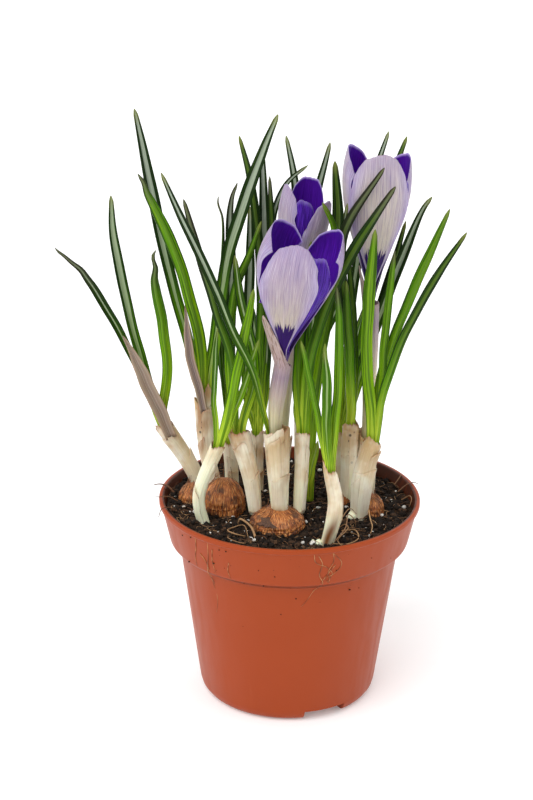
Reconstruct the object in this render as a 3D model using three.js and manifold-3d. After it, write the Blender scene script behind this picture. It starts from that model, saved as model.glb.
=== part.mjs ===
// A clump of striped crocuses in bloom, in a round plastic nursery pot.
// Millimetres, +Z up. The origin is the middle of the pot's foot on the surface it stands on, and -Y is the
// front.
import * as THREE from "three";
import { mergeVertices } from "three/addons/utils/BufferGeometryUtils.js";
import Module from "manifold-3d";

const wasm = await Module();
wasm.setup();

// ---------------------------------------------------------------- driving dimensions
const CLEARANCE = 0.3; // between two pieces that touch on the real plant

const POT = {
  height: 83,
  rimRadius: 52.5,
  bandFootRadius: 47.8,
  bandHeight: 17,
  stepHeight: 2.6,
  neckRadius: 44,
  footRadius: 35.2,
  cornerRadius: 4,
  wall: 1.3,
  lip: 0.9,
  floorHeight: 3.2,
  floorThickness: 1.4,
  footRingWidth: 2.4,
  middleFootRadius: 8, // a low round foot under the middle of the floor
  sides: 30,
};
const NOTCH = { count: 3, firstAzimuth: -65, width: 17.5, height: 2.8, depth: 8 };
const DRAIN = { count: 6, ringRadius: 20, radius: 3.2, sides: 12 };
const CROWN_HOLE_DEPTH = 12; // of the plain hole in the soil for leaves that have no sheath

const SOIL = {
  height: 79.2,
  slopeX: -0.018,
  slopeY: -0.024,
  bumpHeight: 0.45,
  rings: 2,
  sides: 30,
};

const CORM = { sides: 12, ribs: 6, ribDepth: 0.03 };
// Outline of a corm, in half sizes: a flat base, a belly, a groove round the shoulder and a low dome.
const CORM_OUTLINE = [
  [0, -0.4],
  [0.92, -0.4],
  [1, 0.12],
  [0.94, 0.34],
  [0.95, 0.42],
  [0.82, 0.72],
  [0.48, 0.93],
  [0, 1],
];

const BLADE = {
  edge: 0.32, // half the thickness at the margins
  groove: 0.3, // how high the grooved middle of the upper face lies
  keel: 0.65, // how far the keel hangs below the middle
  lift: 0.22, // rise of the margins, as a share of half the width
  footWidth: 0.62, // width at the foot, as a share of the full width
  tipWidth: 0.26,
  step: 38, // length of one stretch of blade
  leastSteps: 4,
  grown: 0.35, // it has its full width from here, as a share of its length
  fadeStart: 0.72, // and narrows towards the tip from here
  fadePower: 1.6, // the higher, the blunter the tip
};
const SHEATH = {
  wall: 0.75,
  sides: 7,
  torn: 1.8, // how far the mouth rises and falls
  boreStart: 0.42, // it is hollow from here to its mouth, as a share of its length
  leafStart: 0.78, // its leaves part from here
  coreEnd: 0.84, // and are one stem up to here
  leafSeat: 0.4, // how far out they stand in the bore
  bractStart: 0.9,
  holeEnd: 0.3, // the soil and the corms are cut away round it up to here
};
const KNOB = { around: 6, rows: 4 };
const TEPAL = {
  thickness: 0.6,
  rows: 6,
  columns: 5,
  foot: 0.05, // where a tepal starts, as a share of its height
  claw: 1.3, // half width and distance from the axis at the foot
  widest: 0.76, // where the blade is widest, as a share of its height
  flare: 1.45, // the higher, the longer it stays narrow above its foot
  topFall: 0.12, // how much narrower it is again at its top, as a share
  cupBelly: 0.75, // the share of the height where the cup is widest
  cupFlare: 1.3, // the higher, the longer the cup stays narrow
  hollow: 0.8, // radius of its own hollow, as a share of its distance from the axis
  leastHollow: 2, // and at least this
  throatHeight: 4.2, // the six claws are one up to here
  corner: 9.5, // how far the top corners drop to round off the tip
  innerHeight: 0.9, // the inner three are lower, and stand inside the outer three
  innerInset: 0.13, // how far inside, as a share of the reach
};
const TUBE = {
  radius: 1.4,
  sides: 6,
  rings: 4,
  plugDepth: 1, // a plug that joins the claws reaches this far below the throat
  plugMargin: 0.4, // how far the plug stands out round the claws
};
const SPATHE = {
  wall: 0.7,
  gap: 0.35,
  swell: 0.6, // how much wider its upper part is
  foot: 0.06, // where it starts, as a share of the tube's length
  narrow: 0.35, // it is narrow up to here
  wide: 0.5, // and wide from here
  sides: 9,
};

// Heights above the throat and distances from the flower's axis.
const STAMEN = {
  styleTop: 27,
  styleRadii: [0.8, 0.6],
  antherRoute: [[11, 1], [16, 1.9], [23, 2.4]],
  antherRadii: [0.5, 0.5, 1, 0.5],
  stigmaRoute: [[25.5, 0], [31, 2.6]],
  stigmaRadii: [0.5, 0.9],
};

const COLOURS = {
  pot: { color: 0xb85430, roughness: 0.5, metalness: 0 },
  soil: { color: 0x2a211d, roughness: 1, metalness: 0 },
  corm: { color: 0x9a5b33, roughness: 0.8, metalness: 0 },
  sheath: { color: 0xe6dcc4, roughness: 0.6, metalness: 0 },
  leaf: { color: 0x3f7a1e, roughness: 0.45, metalness: 0 },
  flower: { color: 0xcdbfe6, roughness: 0.6, metalness: 0 },
  spathe: { color: 0xd9c6c0, roughness: 0.6, metalness: 0 },
  stamen: { color: 0xe8a21c, roughness: 0.7, metalness: 0 },
};

// Corms: the middle and the half sizes of each squat corm, half sunk in the soil.
const CORMS = {
  corm_front: { middle: [-5, -23, 79], half: [10.8, 10.6, 8.5] },
  corm_mid_left: { middle: [-26, -8, 79], half: [8.4, 8.6, 14.5] },
  corm_left_rear: { middle: [-38.5, 3, 78], half: [6, 6.5, 8.5] },
  corm_right_rear: { middle: [31, -6, 78], half: [6.6, 6.8, 8.5] },
  corm_back: { middle: [21, 4.5, 77], half: [5, 5.4, 8.5] },
};

// Shoots. Each has a papery sheath from its foot, through a bend, to its mouth, with a radius at each,
// perhaps with the knobs of young roots at its foot, and leaves that stand in it. A leaf's points run from
// above the mouth to its tip, `width` is its full width, `face` is the azimuth that its grooved upper side
// looks to, and `turn` is how far it twists on the way up, both in degrees. A leaf with a `seat` stands that
// far out in the sheath's bore, alone. A bract is a papery blade that grows from the sheath's own rim.
const SHOOTS = {
  far_left: {
    sheath: { points: [[-35, 17, 77], [-41, 17, 90], [-50, 18, 104]], radii: [2.9, 3.1, 3.6], tear: 1 },
    leaves: [
      {
        points: [[-60, 14.5, 129.8], [-70.2, 9, 154], [-81, 6, 173], [-91, 4, 184]],
        width: 3.1,
        face: -40,
        turn: 50,
      },
      { points: [[-64, 20, 150], [-70, 23, 182], [-71, 25, 199]], width: 4.4, face: -60 },
      {
        points: [[-51.2, 16.5, 112], [-49.4, 14, 130], [-50.8, 11, 151], [-53.4, 8, 174], [-52, 8, 182]],
        width: 4.2,
        face: 90,
      },
    ],
    bract: { points: [[-60, 10, 134], [-66, 8, 147]], width: 4.8, face: -80 },
  },
  left: {
    sheath: { points: [[-29, -3, 86], [-33, -2, 104], [-34, 1, 123]], radii: [2.4, 3.1, 3.8], tear: 2 },
    leaves: [
      { points: [[-46, 7, 167], [-60, 8, 237]], width: 4.7, face: -60 },
      { points: [[-35, 0, 144], [-39.9, -2, 169], [-46, -5, 189], [-58, -8, 216]], width: 4.6, face: 100 },
      { points: [[-27, 4, 166], [-23, 6, 186], [-11, 12, 222], [-6, 14, 234]], width: 5, face: -100 },
    ],
    bract: { points: [[-39, -4, 144], [-41, -5, 164]], width: 3.6, face: -90 },
  },
  front_left: {
    sheath: {
      points: [[-33, -20, 77], [-35.5, -20.5, 91], [-28, -22, 113]],
      radii: [2.4, 2.4, 2.8],
      tear: 3,
    },
    leaves: [
      { points: [[-29.6, -22, 134], [-28, -23, 161]], width: 2.2, face: -90 },
      { points: [[-21.5, -24, 141], [-17, -24, 162], [-14.5, -25, 177]], width: 4, face: 90 },
      { points: [[-18, -21.5, 138], [-12.5, -21, 156]], width: 2.6, face: -90 },
    ],
  },
  mid_left: {
    sheath: {
      points: [[-13.5, -19.5, 84], [-15.5, -19.5, 100], [-20, -18, 117]],
      radii: [2.3, 3.3, 4.3],
      tear: 4,
    },
    leaves: [
      { points: [[-23, -15, 144], [-29, -12, 164], [-41, -10, 207]], width: 3.6, face: 80 },
      { points: [[-14, -12, 140], [-19, -7, 164], [-22, -5, 184]], width: 3.8, face: -90 },
      { points: [[-24.4, -10, 142], [-22, -2, 168], [-16.4, -1, 183], [-12, 0, 196]], width: 3.4, face: 90 },
    ],
  },
  front: {
    sheath: {
      points: [[-4, -21.5, 86], [-4.8, -21, 103], [-5.6, -21, 119]],
      radii: [3.2, 4.3, 5.2],
      tear: 5,
    },
    leaves: [
      {
        points: [
          [-10.8, -22, 127],
          [-14.5, -24.5, 142.8],
          [-22, -27.5, 160.4],
          [-28, -28, 175.5],
          [-48, -30, 222],
        ],
        width: 3.5,
        face: -20,
        turn: -90,
        seat: 0.76,
      },
    ],
  },
  front_middle: {
    sheath: { points: [[3.5, -18, 84], [4.2, -17, 101], [4.5, -16, 116]], radii: [2.3, 2.6, 2.8], tear: 6 },
    leaves: [
      { points: [[7, -15, 148], [15, -11, 172], [24, -14, 191], [37, -20, 215]], width: 4.6, face: 100 },
      { points: [[2.5, -14, 140], [5, -6, 165], [7, 1, 188]], width: 4.2, face: 90 },
      { points: [[2.2, -13, 124], [4, -11, 137], [8.6, -8, 151], [12, -6, 163]], width: 3.4, face: 90 },
    ],
  },
  middle: {
    crown: { foot: [8, 0, 76], radius: 2.2 },
    leaves: [
      { points: [[9, 1, 120], [15, 2, 165], [16, 2, 192], [11, 2, 203]], width: 4, face: 90 },
      { points: [[8, 4, 120], [10, 6, 150], [11, 3, 172]], width: 3.4, face: 90 },
      { points: [[8, -2, 92], [11, -1, 107]], width: 3, face: -90 },
    ],
  },
  back_left: {
    sheath: { points: [[-23, 11, 76], [-23.5, 11, 90], [-24, 10, 102]], radii: [2.6, 2.8, 3], tear: 7 },
    leaves: [
      { points: [[-28, 16, 159], [-27, 19, 190], [-29, 21, 200]], width: 2.6, face: -90, turn: 90 },
      { points: [[-24, 18, 175], [-24, 25, 196], [-22, 28, 204]], width: 4, face: -80 },
      { points: [[-24.6, 13, 118], [-24.6, 16, 136], [-26, 18, 166]], width: 3.2, face: 90 },
      { points: [[-24, 12, 110], [-28, 26, 132], [-31, 38, 150]], width: 3.6, face: -90 },
    ],
  },
  back_middle: {
    sheath: { points: [[-13, 12, 76], [-13, 13, 90], [-13, 14, 104]], radii: [2.2, 2.4, 2.6], tear: 8 },
    leaves: [
      { points: [[-12.5, 20, 178], [-17, 23, 208], [-21, 30, 222]], width: 3.6, face: 90 },
      { points: [[-17, 18, 118], [-16.6, 21, 157], [-16.6, 25, 195]], width: 4, face: -90 },
      { points: [[-10.2, 17, 122], [-9.8, 18, 140], [-10.8, 21, 168]], width: 3.6, face: -90 },
      { points: [[-11, 27, 175], [-12, 34, 217]], width: 4.4, face: -90 },
      { points: [[-8, 23, 178], [-9, 30, 206]], width: 3.2, face: 90 },
      { points: [[-9, 26, 170], [-7, 30, 192], [-2, 32, 203], [6, 32, 210]], width: 3, face: -110 },
      { points: [[-13, 16, 112], [-14, 38, 136], [-17, 56, 148]], width: 3.8, face: -90 },
    ],
  },
  back: {
    sheath: { points: [[5, 29, 76], [5, 29, 90], [5, 30, 104]], radii: [2.5, 2.7, 3], tear: 9 },
    leaves: [
      { points: [[2.5, 35, 176], [0.9, 37, 202], [-2.6, 44, 219]], width: 4, face: -90 },
      { points: [[7, 37, 180], [15, 46, 216]], width: 4, face: -90 },
      { points: [[14.6, 29, 161], [18.2, 29, 186], [16.5, 31, 212]], width: 5.4, face: 90 },
      { points: [[5, 32, 112], [9, 50, 136], [12, 66, 152]], width: 3.8, face: -90 },
      { points: [[14, 42, 136], [27, 56, 160]], width: 3.6, face: -100 },
    ],
  },
  front_right: {
    sheath: {
      points: [[13, -39, 76], [17, -36.5, 95], [15, -34, 107]],
      radii: [2.2, 2.9, 2.5],
      tear: 10,
      knobs: [{ middle: [10.7, -38.6, 79.8], radius: 1.7 }, { middle: [8.5, -37.8, 79.7], radius: 1.3 }],
    },
    leaves: [
      { points: [[8, -34, 139], [3, -34, 160]], width: 2.6, face: 90 },
      { points: [[13.2, -36, 129], [13, -35.6, 143], [11.6, -35, 157]], width: 3.6, face: -90 },
      { points: [[17, -32, 136], [17.5, -29, 160], [16, -28, 179]], width: 3.4, face: 90 },
      { points: [[13, -33, 134], [12, -31, 158]], width: 3, face: 90 },
    ],
  },
  right: {
    sheath: {
      points: [[27, -12, 76], [28.5, -12, 96], [32, -11, 111]],
      radii: [3, 4.2, 3.7],
      tear: 11,
      knobs: [{ middle: [24.4, -14.2, 80.2], radius: 2 }],
    },
    leaves: [
      { points: [[28, -17, 159], [30, -21, 199]], width: 4.6, face: 90 },
      { points: [[36, -12, 162], [38, -14, 189]], width: 3.2, face: 90 },
      { points: [[33.6, -10, 129], [40.4, -8, 157], [58.6, -6, 203]], width: 3.8, face: 90 },
      {
        points: [[34.6, -13.5, 129], [42, -17, 155], [52, -20, 178], [63.4, -24, 199]],
        width: 3.4,
        face: 90,
      },
    ],
  },
  right_middle: {
    sheath: { points: [[23, 3, 80], [23.5, 3, 95], [24, 4, 112]], radii: [2.7, 3, 3.3], tear: 12 },
    leaves: [
      { points: [[23, 1, 143], [20, -3, 168], [19, -8, 193], [33, -16, 221]], width: 4, face: 100 },
      { points: [[22, 0, 143], [17, -5, 178], [20, -10, 206]], width: 3, face: -90 },
      { points: [[25, 7, 140], [22, 10, 180]], width: 3.2, face: 90 },
      { points: [[24, -1, 124], [21.4, -4, 154], [20.4, -4, 174]], width: 4, face: 90 },
    ],
  },
  right_back: {
    sheath: { points: [[21, 17, 76], [21, 17, 90], [21, 17, 104]], radii: [2.4, 2.5, 2.7], tear: 13 },
    leaves: [
      { points: [[31, 14, 140], [40, 9, 172], [49.6, 8, 199], [53, 8, 204]], width: 4.2, face: -100 },
      { points: [[30, 16, 140], [36.6, 14, 164], [43.7, 13, 193]], width: 3.2, face: 90 },
      { points: [[26, 28, 170], [32.6, 32, 208], [38, 44, 221]], width: 3.6, face: -90 },
      { points: [[34, 26, 170], [40, 29, 209], [45, 40, 220]], width: 3.6, face: 90 },
      { points: [[21, 19, 112], [28, 36, 140], [38, 54, 164]], width: 3.6, face: -90 },
    ],
  },
};

// Flowers. The tube rises from its foot, inside a sheath, past its waist to the throat; `top` is the middle
// of the open mouth and `reach` the widest radius of the cup. Each tepal has an azimuth and its widest half
// width, and perhaps a height, as a share of the bloom's, and a hollow, as a share of its distance from the
// axis. A spathe has the height of its top, the tip of its flap and the azimuth of the side that rises into
// the flap.
const FLOWERS = {
  front: {
    sheath: null, // it stands in the shoot of the same name
    foot: [-4.7, -21, 100.2],
    waist: [-6, -21, 126],
    throat: [-3.3, -21, 147],
    top: [4.5, -21, 197],
    reach: 17.8,
    outer: [
      { azimuth: -106, width: 11.8, hollow: 1.15 },
      { azimuth: 39, width: 13, height: 0.98, hollow: 0.54 },
      { azimuth: 146, width: 13.6, height: 1.06, hollow: 0.54 },
    ],
    inner: [
      { azimuth: -70, width: 8.4 },
      { azimuth: 88, width: 7, height: 0.85 },
      { azimuth: 196, width: 7, height: 0.85 },
    ],
    spathe: { top: 146, flap: [-11.6, -25.5, 167], face: -125 },
  },
  back: {
    sheath: { points: [[-4, 11, 76], [-4, 11, 89], [-3, 11, 103]], radii: [3.2, 3.7, 4], tear: 14 },
    foot: [-4, 11, 87.6],
    waist: [-2, 11, 122],
    throat: [1, 11, 160],
    top: [6, 13, 208],
    reach: 10.6,
    outer: [
      { azimuth: 88, width: 10 },
      { azimuth: 205, width: 8.6 },
      { azimuth: -42, width: 8.4, height: 0.88 },
    ],
    inner: [
      { azimuth: -100, width: 7 },
      { azimuth: 24, width: 6.4, height: 0.85 },
      { azimuth: 146, width: 6.4, height: 0.85 },
    ],
    spathe: { top: 158, flap: [6, 14, 170], face: 30 },
  },
  right: {
    sheath: { points: [[31, 7.5, 76], [31, 7, 92], [31, 6, 108]], radii: [3.2, 3.7, 4], tear: 15 },
    foot: [31, 6.9, 89.8],
    waist: [30.8, 5.2, 126],
    throat: [30.5, 3, 165],
    top: [32, 3, 224],
    reach: 13.8,
    outer: [
      { azimuth: -88, width: 12.4, hollow: 1.15 },
      { azimuth: 30, width: 11.4, height: 0.94, hollow: 0.66 },
      { azimuth: 154, width: 11.6, hollow: 0.62 },
    ],
    inner: [
      { azimuth: -34, width: 7.4, height: 0.9 },
      { azimuth: 92, width: 7.4, height: 0.9 },
      { azimuth: 218, width: 7.4, height: 0.9 },
    ],
    spathe: { top: 163, flap: [26, 3, 178], face: 180 },
  },
};

// ---------------------------------------------------------------- helpers
const vector = (p) => new THREE.Vector3(...p);
const radians = THREE.MathUtils.degToRad;
const heading = (azimuth) => vector([Math.cos(radians(azimuth)), Math.sin(radians(azimuth)), 0]);

// A geometry as a solid that can be joined and cut.
function toSolid(geometry) {
  const bare = new THREE.BufferGeometry()
    .setAttribute("position", geometry.getAttribute("position"))
    .setIndex(geometry.index);
  const merged = mergeVertices(bare, 1e-3);
  return new wasm.Manifold(
    new wasm.Mesh({
      numProp: 3,
      vertProperties: merged.attributes.position.array,
      triVerts: new Uint32Array(merged.index.array),
    }),
  );
}

// The biggest body of a solid, without the scraps that a cut can leave.
function mainBody(solid) {
  return solid.decompose().reduce((a, b) => (a.volume() > b.volume() ? a : b));
}

function toMesh(name, solid, colour) {
  const data = mainBody(solid).getMesh();
  const geometry = new THREE.BufferGeometry()
    .setAttribute("position", new THREE.BufferAttribute(data.vertProperties, 3))
    .setIndex(new THREE.BufferAttribute(data.triVerts, 1));
  geometry.computeVertexNormals();
  const mesh = new THREE.Mesh(geometry, new THREE.MeshStandardMaterial(colour));
  mesh.name = name;
  return mesh;
}

const unite = (solids) => solids.reduce((a, b) => a.add(b));

function surface(points, faces) {
  const geometry = new THREE.BufferGeometry().setFromPoints(points);
  geometry.setIndex(faces);
  return geometry;
}

// A closed skin over a row of rings that each run anticlockwise round the way ahead. The ends are capped,
// or, for a sleeve, the last ring joins the first.
function loft(rings, sleeve = false) {
  const sides = rings[0].length;
  const points = rings.flat();
  const faces = [];
  const bands = sleeve ? rings.length : rings.length - 1;
  for (let band = 0; band < bands; band++)
    for (let i = 0; i < sides; i++) {
      const next = (i + 1) % sides;
      const low = band * sides;
      const high = ((band + 1) % rings.length) * sides;
      faces.push(low + i, low + next, high + next, low + i, high + next, high + i);
    }
  if (!sleeve)
    for (const [start, flip] of [[0, true], [points.length - sides, false]]) {
      const middle = points.length;
      const ring = points.slice(start, start + sides);
      points.push(ring.reduce((sum, p) => sum.add(p), vector([0, 0, 0])).divideScalar(sides));
      for (let i = 0; i < sides; i++) {
        const [a, b] = [start + i, start + ((i + 1) % sides)];
        faces.push(middle, flip ? b : a, flip ? a : b);
      }
    }
  return toSolid(surface(points, faces));
}

// The axes of a section of a path: `up` looks as near to `face` as the path allows.
function sectionAxes(curve, share, face) {
  const ahead = curve.getTangentAt(share);
  const up = face.clone().addScaledVector(ahead, -face.dot(ahead)).normalize();
  return { middle: curve.getPointAt(share), ahead, up, side: up.clone().cross(ahead) };
}

// A round ring across a path. `lift` gives each corner's rise along the path from its angle.
function roundRing(curve, share, radius, sides, lift = () => 0) {
  const { middle, ahead, up, side } = sectionAxes(curve, share, heading(90));
  return Array.from({ length: sides }, (_, i) => {
    const angle = (2 * Math.PI * i) / sides;
    return middle
      .clone()
      .addScaledVector(side, radius * Math.cos(angle))
      .addScaledVector(up, radius * Math.sin(angle))
      .addScaledVector(ahead, lift(angle));
  });
}

// A value read off an evenly spaced list, in straight steps.
function readOff(list, share) {
  const place = THREE.MathUtils.clamp(share, 0, 1) * (list.length - 1);
  const low = Math.min(Math.floor(place), list.length - 2);
  return THREE.MathUtils.lerp(list[low], list[low + 1], place - low);
}

function shares(from, to, steps) {
  return Array.from({ length: steps + 1 }, (_, i) => from + ((to - from) * i) / steps);
}

// ---------------------------------------------------------------- pot and soil
function arcPoints(middle, radius, from, to, steps) {
  return shares(from, to, steps).map((angle) => [
    middle[0] + radius * Math.cos(radians(angle)),
    middle[1] + radius * Math.sin(radians(angle)),
  ]);
}

const floorTop = POT.floorHeight + POT.floorThickness;
const neckHeight = POT.height - POT.bandHeight - POT.stepHeight;
const bandFoot = POT.height - POT.bandHeight;
const ringRadius = POT.footRadius - POT.cornerRadius; // outer edge of the flat that the pot stands on

// The inside of the wall, from the floor to the rim.
const INSIDE = [
  [POT.footRadius - POT.wall, floorTop],
  [POT.neckRadius - POT.wall, neckHeight + POT.wall],
  [POT.bandFootRadius - POT.wall, bandFoot + POT.wall],
  [POT.rimRadius - POT.lip - POT.wall, POT.height - POT.lip],
];

function lathe(outline, sides) {
  const points = outline.map(([x, y]) => new THREE.Vector2(x, y));
  return toSolid(new THREE.LatheGeometry(points, sides).rotateX(Math.PI / 2));
}

// A round-edged pot with a band under its rim. It stands on a ring with drain notches and on a foot in the
// middle.
function makePot() {
  const corner = [ringRadius, POT.cornerRadius];
  const lip = [POT.rimRadius - POT.lip, POT.height - POT.lip];
  const outline = [
    [0, 0],
    [POT.middleFootRadius, 0],
    [POT.middleFootRadius, POT.floorHeight],
    [ringRadius - POT.footRingWidth, POT.floorHeight],
    [ringRadius - POT.footRingWidth, 0],
    ...arcPoints(corner, POT.cornerRadius, -90, 0, 2),
    [POT.neckRadius, neckHeight],
    [POT.bandFootRadius, bandFoot],
    [lip[0] - POT.lip / 2, lip[1] - 2 * POT.lip],
    ...arcPoints(lip, POT.lip, -30, 90, 2),
    ...INSIDE.toReversed(),
    [0, floorTop],
  ];
  let pot = lathe(outline, POT.sides);
  for (let i = 0; i < NOTCH.count; i++) {
    const azimuth = NOTCH.firstAzimuth + (360 * i) / NOTCH.count;
    const box = new THREE.BoxGeometry(NOTCH.depth, NOTCH.width, 2 * NOTCH.height)
      .translate(ringRadius, 0, 0)
      .rotateZ(radians(azimuth));
    pot = pot.subtract(toSolid(box));
  }
  for (let i = 0; i < DRAIN.count; i++) {
    const hole = new THREE.CylinderGeometry(DRAIN.radius, DRAIN.radius, 4 * POT.floorThickness, DRAIN.sides)
      .rotateX(Math.PI / 2)
      .translate(DRAIN.ringRadius, 0, floorTop)
      .rotateZ(radians(NOTCH.firstAzimuth + (360 * i) / DRAIN.count));
    pot = pot.subtract(toSolid(hole));
  }
  return pot;
}

// The crumbly top of the soil, which sags a little to the back and the right.
function soilRise(x, y) {
  const bumps = Math.sin(0.31 * x + 1) * Math.cos(0.27 * y) + 0.5 * Math.sin(0.7 * x + 0.9 * y);
  return SOIL.slopeX * x + SOIL.slopeY * y + SOIL.bumpHeight * bumps;
}

function makeSoil() {
  const inset = ([x, z]) => [x - CLEARANCE, z];
  const [bottom, neck, band, rim] = INSIDE.map(inset);
  const edge = THREE.MathUtils.mapLinear(SOIL.height, band[1], rim[1], band[0], rim[0]) - CLEARANCE;
  const top = shares(edge, 0, SOIL.rings).map((radius) => [radius, SOIL.height]);
  const side = [[0, floorTop + CLEARANCE], [bottom[0], floorTop + CLEARANCE], neck, band];
  const points = [...side, ...top].map(([x, y]) => new THREE.Vector2(x, y));
  const geometry = new THREE.LatheGeometry(points, SOIL.sides).rotateX(Math.PI / 2);
  const places = geometry.getAttribute("position");
  for (let i = 0; i < places.count; i++)
    if (places.getZ(i) > SOIL.height - 1e-3)
      places.setZ(i, SOIL.height + soilRise(places.getX(i), places.getY(i)));
  return toSolid(geometry);
}

// ---------------------------------------------------------------- corms
// A squat corm with shallow upright ribs, `grow` mm larger all round.
function makeCorm({ middle, half }, grow = 0) {
  const outline = CORM_OUTLINE.map(([x, y]) => new THREE.Vector2(x, y));
  const geometry = new THREE.LatheGeometry(outline, CORM.sides).rotateX(Math.PI / 2);
  const places = geometry.getAttribute("position");
  const point = vector([0, 0, 0]);
  for (let i = 0; i < places.count; i++) {
    point.fromBufferAttribute(places, i);
    const rib = 1 + CORM.ribDepth * Math.cos(CORM.ribs * Math.atan2(point.y, point.x));
    point.multiply(vector([rib, rib, 1])).multiply(vector(half).addScalar(grow)).add(vector(middle));
    places.setXYZ(i, point.x, point.y, point.z);
  }
  return toSolid(geometry);
}

// ---------------------------------------------------------------- sheaths
const sheathCurve = ({ points }) => new THREE.CatmullRomCurve3(points.map(vector));

// The rise of a torn mouth, different for each shoot.
function tornEdge(tear) {
  return (angle) => (SHEATH.torn / 2) * (Math.sin(2 * angle + tear) + Math.sin(5 * angle + 2 * tear));
}

// The outside of a sheath, `grow` mm larger all round, between two shares of its length.
function sheathCore(sheath, grow, from, to, steps) {
  const curve = sheathCurve(sheath);
  const rings = shares(from, to, steps).map((share) =>
    roundRing(curve, share, readOff(sheath.radii, share) + grow, SHEATH.sides),
  );
  return { curve, rings };
}

function makeKnobs({ knobs = [] }, grow = 0) {
  return knobs.map(({ middle, radius }) =>
    toSolid(new THREE.SphereGeometry(radius + grow, KNOB.around, KNOB.rows).translate(...middle)),
  );
}

// A papery sleeve with a solid foot and a torn mouth, and the bract that grows from its rim.
function makeSheath({ sheath, bract }) {
  const { curve, rings } = sheathCore(sheath, 0, 0, 1, 3);
  const inside = sheathCore(sheath, -SHEATH.wall, SHEATH.boreStart, 1, 2).rings;
  const mouth = (radius) => roundRing(curve, 1, radius, SHEATH.sides, tornEdge(sheath.tear));
  rings[rings.length - 1] = mouth(sheath.radii.at(-1));
  inside[inside.length - 1] = mouth(sheath.radii.at(-1) - SHEATH.wall);
  const sleeve = unite([loft([...rings, ...inside.toReversed()]), ...makeKnobs(sheath)]);
  if (!bract) return sleeve;
  const rim = curve
    .getPointAt(SHEATH.bractStart)
    .addScaledVector(heading(bract.face), sheath.radii.at(-1) - SHEATH.wall / 2);
  return sleeve.add(makeBlade([rim, ...bract.points.map(vector)], bract));
}

// What a sheath takes out of the soil or the corm that it stands in.
function sheathHole(sheath) {
  const { curve, rings } = sheathCore(sheath, CLEARANCE, 0, SHEATH.holeEnd, 1);
  rings[0].forEach((point) => point.addScaledVector(curve.getTangentAt(0), -CLEARANCE));
  return unite([loft(rings), ...makeKnobs(sheath, CLEARANCE)]);
}

// The room that a sheath's wall takes up, which its leaves keep out of.
function sheathWall(sheath) {
  const curve = sheathCurve(sheath);
  const above = curve.getTangentAt(1).multiplyScalar(SHEATH.torn + CLEARANCE);
  const zone = (grow) => {
    const { rings } = sheathCore(sheath, grow, SHEATH.boreStart - 0.1, 1, 2);
    return [...rings, rings.at(-1).map((point) => point.clone().add(above))];
  };
  return loft([...zone(2), ...zone(-SHEATH.wall - CLEARANCE).toReversed()], true);
}

// ---------------------------------------------------------------- leaves
// Full width of a blade at a share of its length, as a share of its widest.
function bladeWidth(share) {
  const grown = THREE.MathUtils.lerp(BLADE.footWidth, 1, THREE.MathUtils.smoothstep(share, 0, BLADE.grown));
  const fade = Math.max(0, (share - BLADE.fadeStart) / (1 - BLADE.fadeStart));
  return grown * THREE.MathUtils.lerp(1, BLADE.tipWidth, fade ** BLADE.fadePower);
}

// A linear blade along a path: a shallow trough above and a keel below.
function makeBlade(points, { width, face, turn = 0 }) {
  const curve = new THREE.CatmullRomCurve3(points, false, "centripetal");
  const steps = Math.max(BLADE.leastSteps, Math.round(curve.getLength() / BLADE.step));
  const rings = shares(0, 1, steps).map((share) => {
    const { middle, side, up } = sectionAxes(curve, share, heading(face + turn * share));
    const half = (width / 2) * bladeWidth(share);
    const lift = BLADE.lift * half;
    const keel = -BLADE.keel * (0.5 + 0.5 * bladeWidth(share));
    const section = [
      [half, lift - BLADE.edge],
      [half, lift + BLADE.edge],
      [0, BLADE.groove],
      [-half, lift + BLADE.edge],
      [-half, lift - BLADE.edge],
      [0, keel],
    ];
    return section.map(([x, y]) => middle.clone().addScaledVector(side, x).addScaledVector(up, y));
  });
  return loft(rings);
}

// The leaves of a shoot, grown together at their foot, low in the sheath or at a crown in the soil. A leaf
// with a seat of its own stands apart, at that share of the way out to the sheath's wall.
function makeLeaves({ sheath, crown, leaves }) {
  const paths = leaves.map(({ points }) => points.map(vector));
  if (crown) {
    const foot = vector(crown.foot);
    const top = foot.clone().setZ(foot.z + 2 * crown.radius);
    const curve = new THREE.LineCurve3(foot, top);
    const stub = loft([0, 1].map((share) => roundRing(curve, share, crown.radius, SHEATH.sides)));
    return unite([stub, ...leaves.map((leaf, i) => makeBlade([top, ...paths[i]], leaf))]);
  }
  const curve = sheathCurve(sheath);
  const root = SHEATH.boreStart + CLEARANCE / curve.getLength();
  const blades = leaves.map((leaf, i) => {
    const mouth = curve.getPointAt(1);
    const lean = paths[i][0].clone().sub(mouth).setZ(0).normalize();
    const offset = (leaf.seat ?? SHEATH.leafSeat) * (sheath.radii.at(-1) - SHEATH.wall);
    const start = curve.getPointAt(leaf.seat ? root : SHEATH.leafStart).addScaledVector(lean, offset);
    return makeBlade([start, mouth.addScaledVector(lean, offset), ...paths[i]], leaf);
  });
  const core = sheathCore(sheath, -SHEATH.wall - CLEARANCE, root, SHEATH.coreEnd, 1);
  if (!leaves[0].seat) blades.push(loft(core.rings));
  return unite(blades).subtract(sheathWall(sheath));
}

// ---------------------------------------------------------------- flowers
// Distance of a tepal's midline from the flower's axis, over its height: a goblet that closes a little at the
// top.
function cupRadius(share, reach) {
  const angle = (Math.PI / 2) * (share ** TEPAL.cupFlare / TEPAL.cupBelly);
  return TEPAL.claw + (reach - TEPAL.claw) * Math.sin(angle);
}

// Half the width of a tepal over its height: a narrow claw that opens into a broad blade, a little narrower again
// towards its top.
function tepalHalfWidth(share, width) {
  const opened = Math.sin((Math.PI / 2) * Math.min(1, share / TEPAL.widest) ** TEPAL.flare);
  const closed = TEPAL.topFall * THREE.MathUtils.smoothstep(share, TEPAL.widest, 1);
  return Math.max(TEPAL.claw, width * opened * (1 - closed));
}

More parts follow.
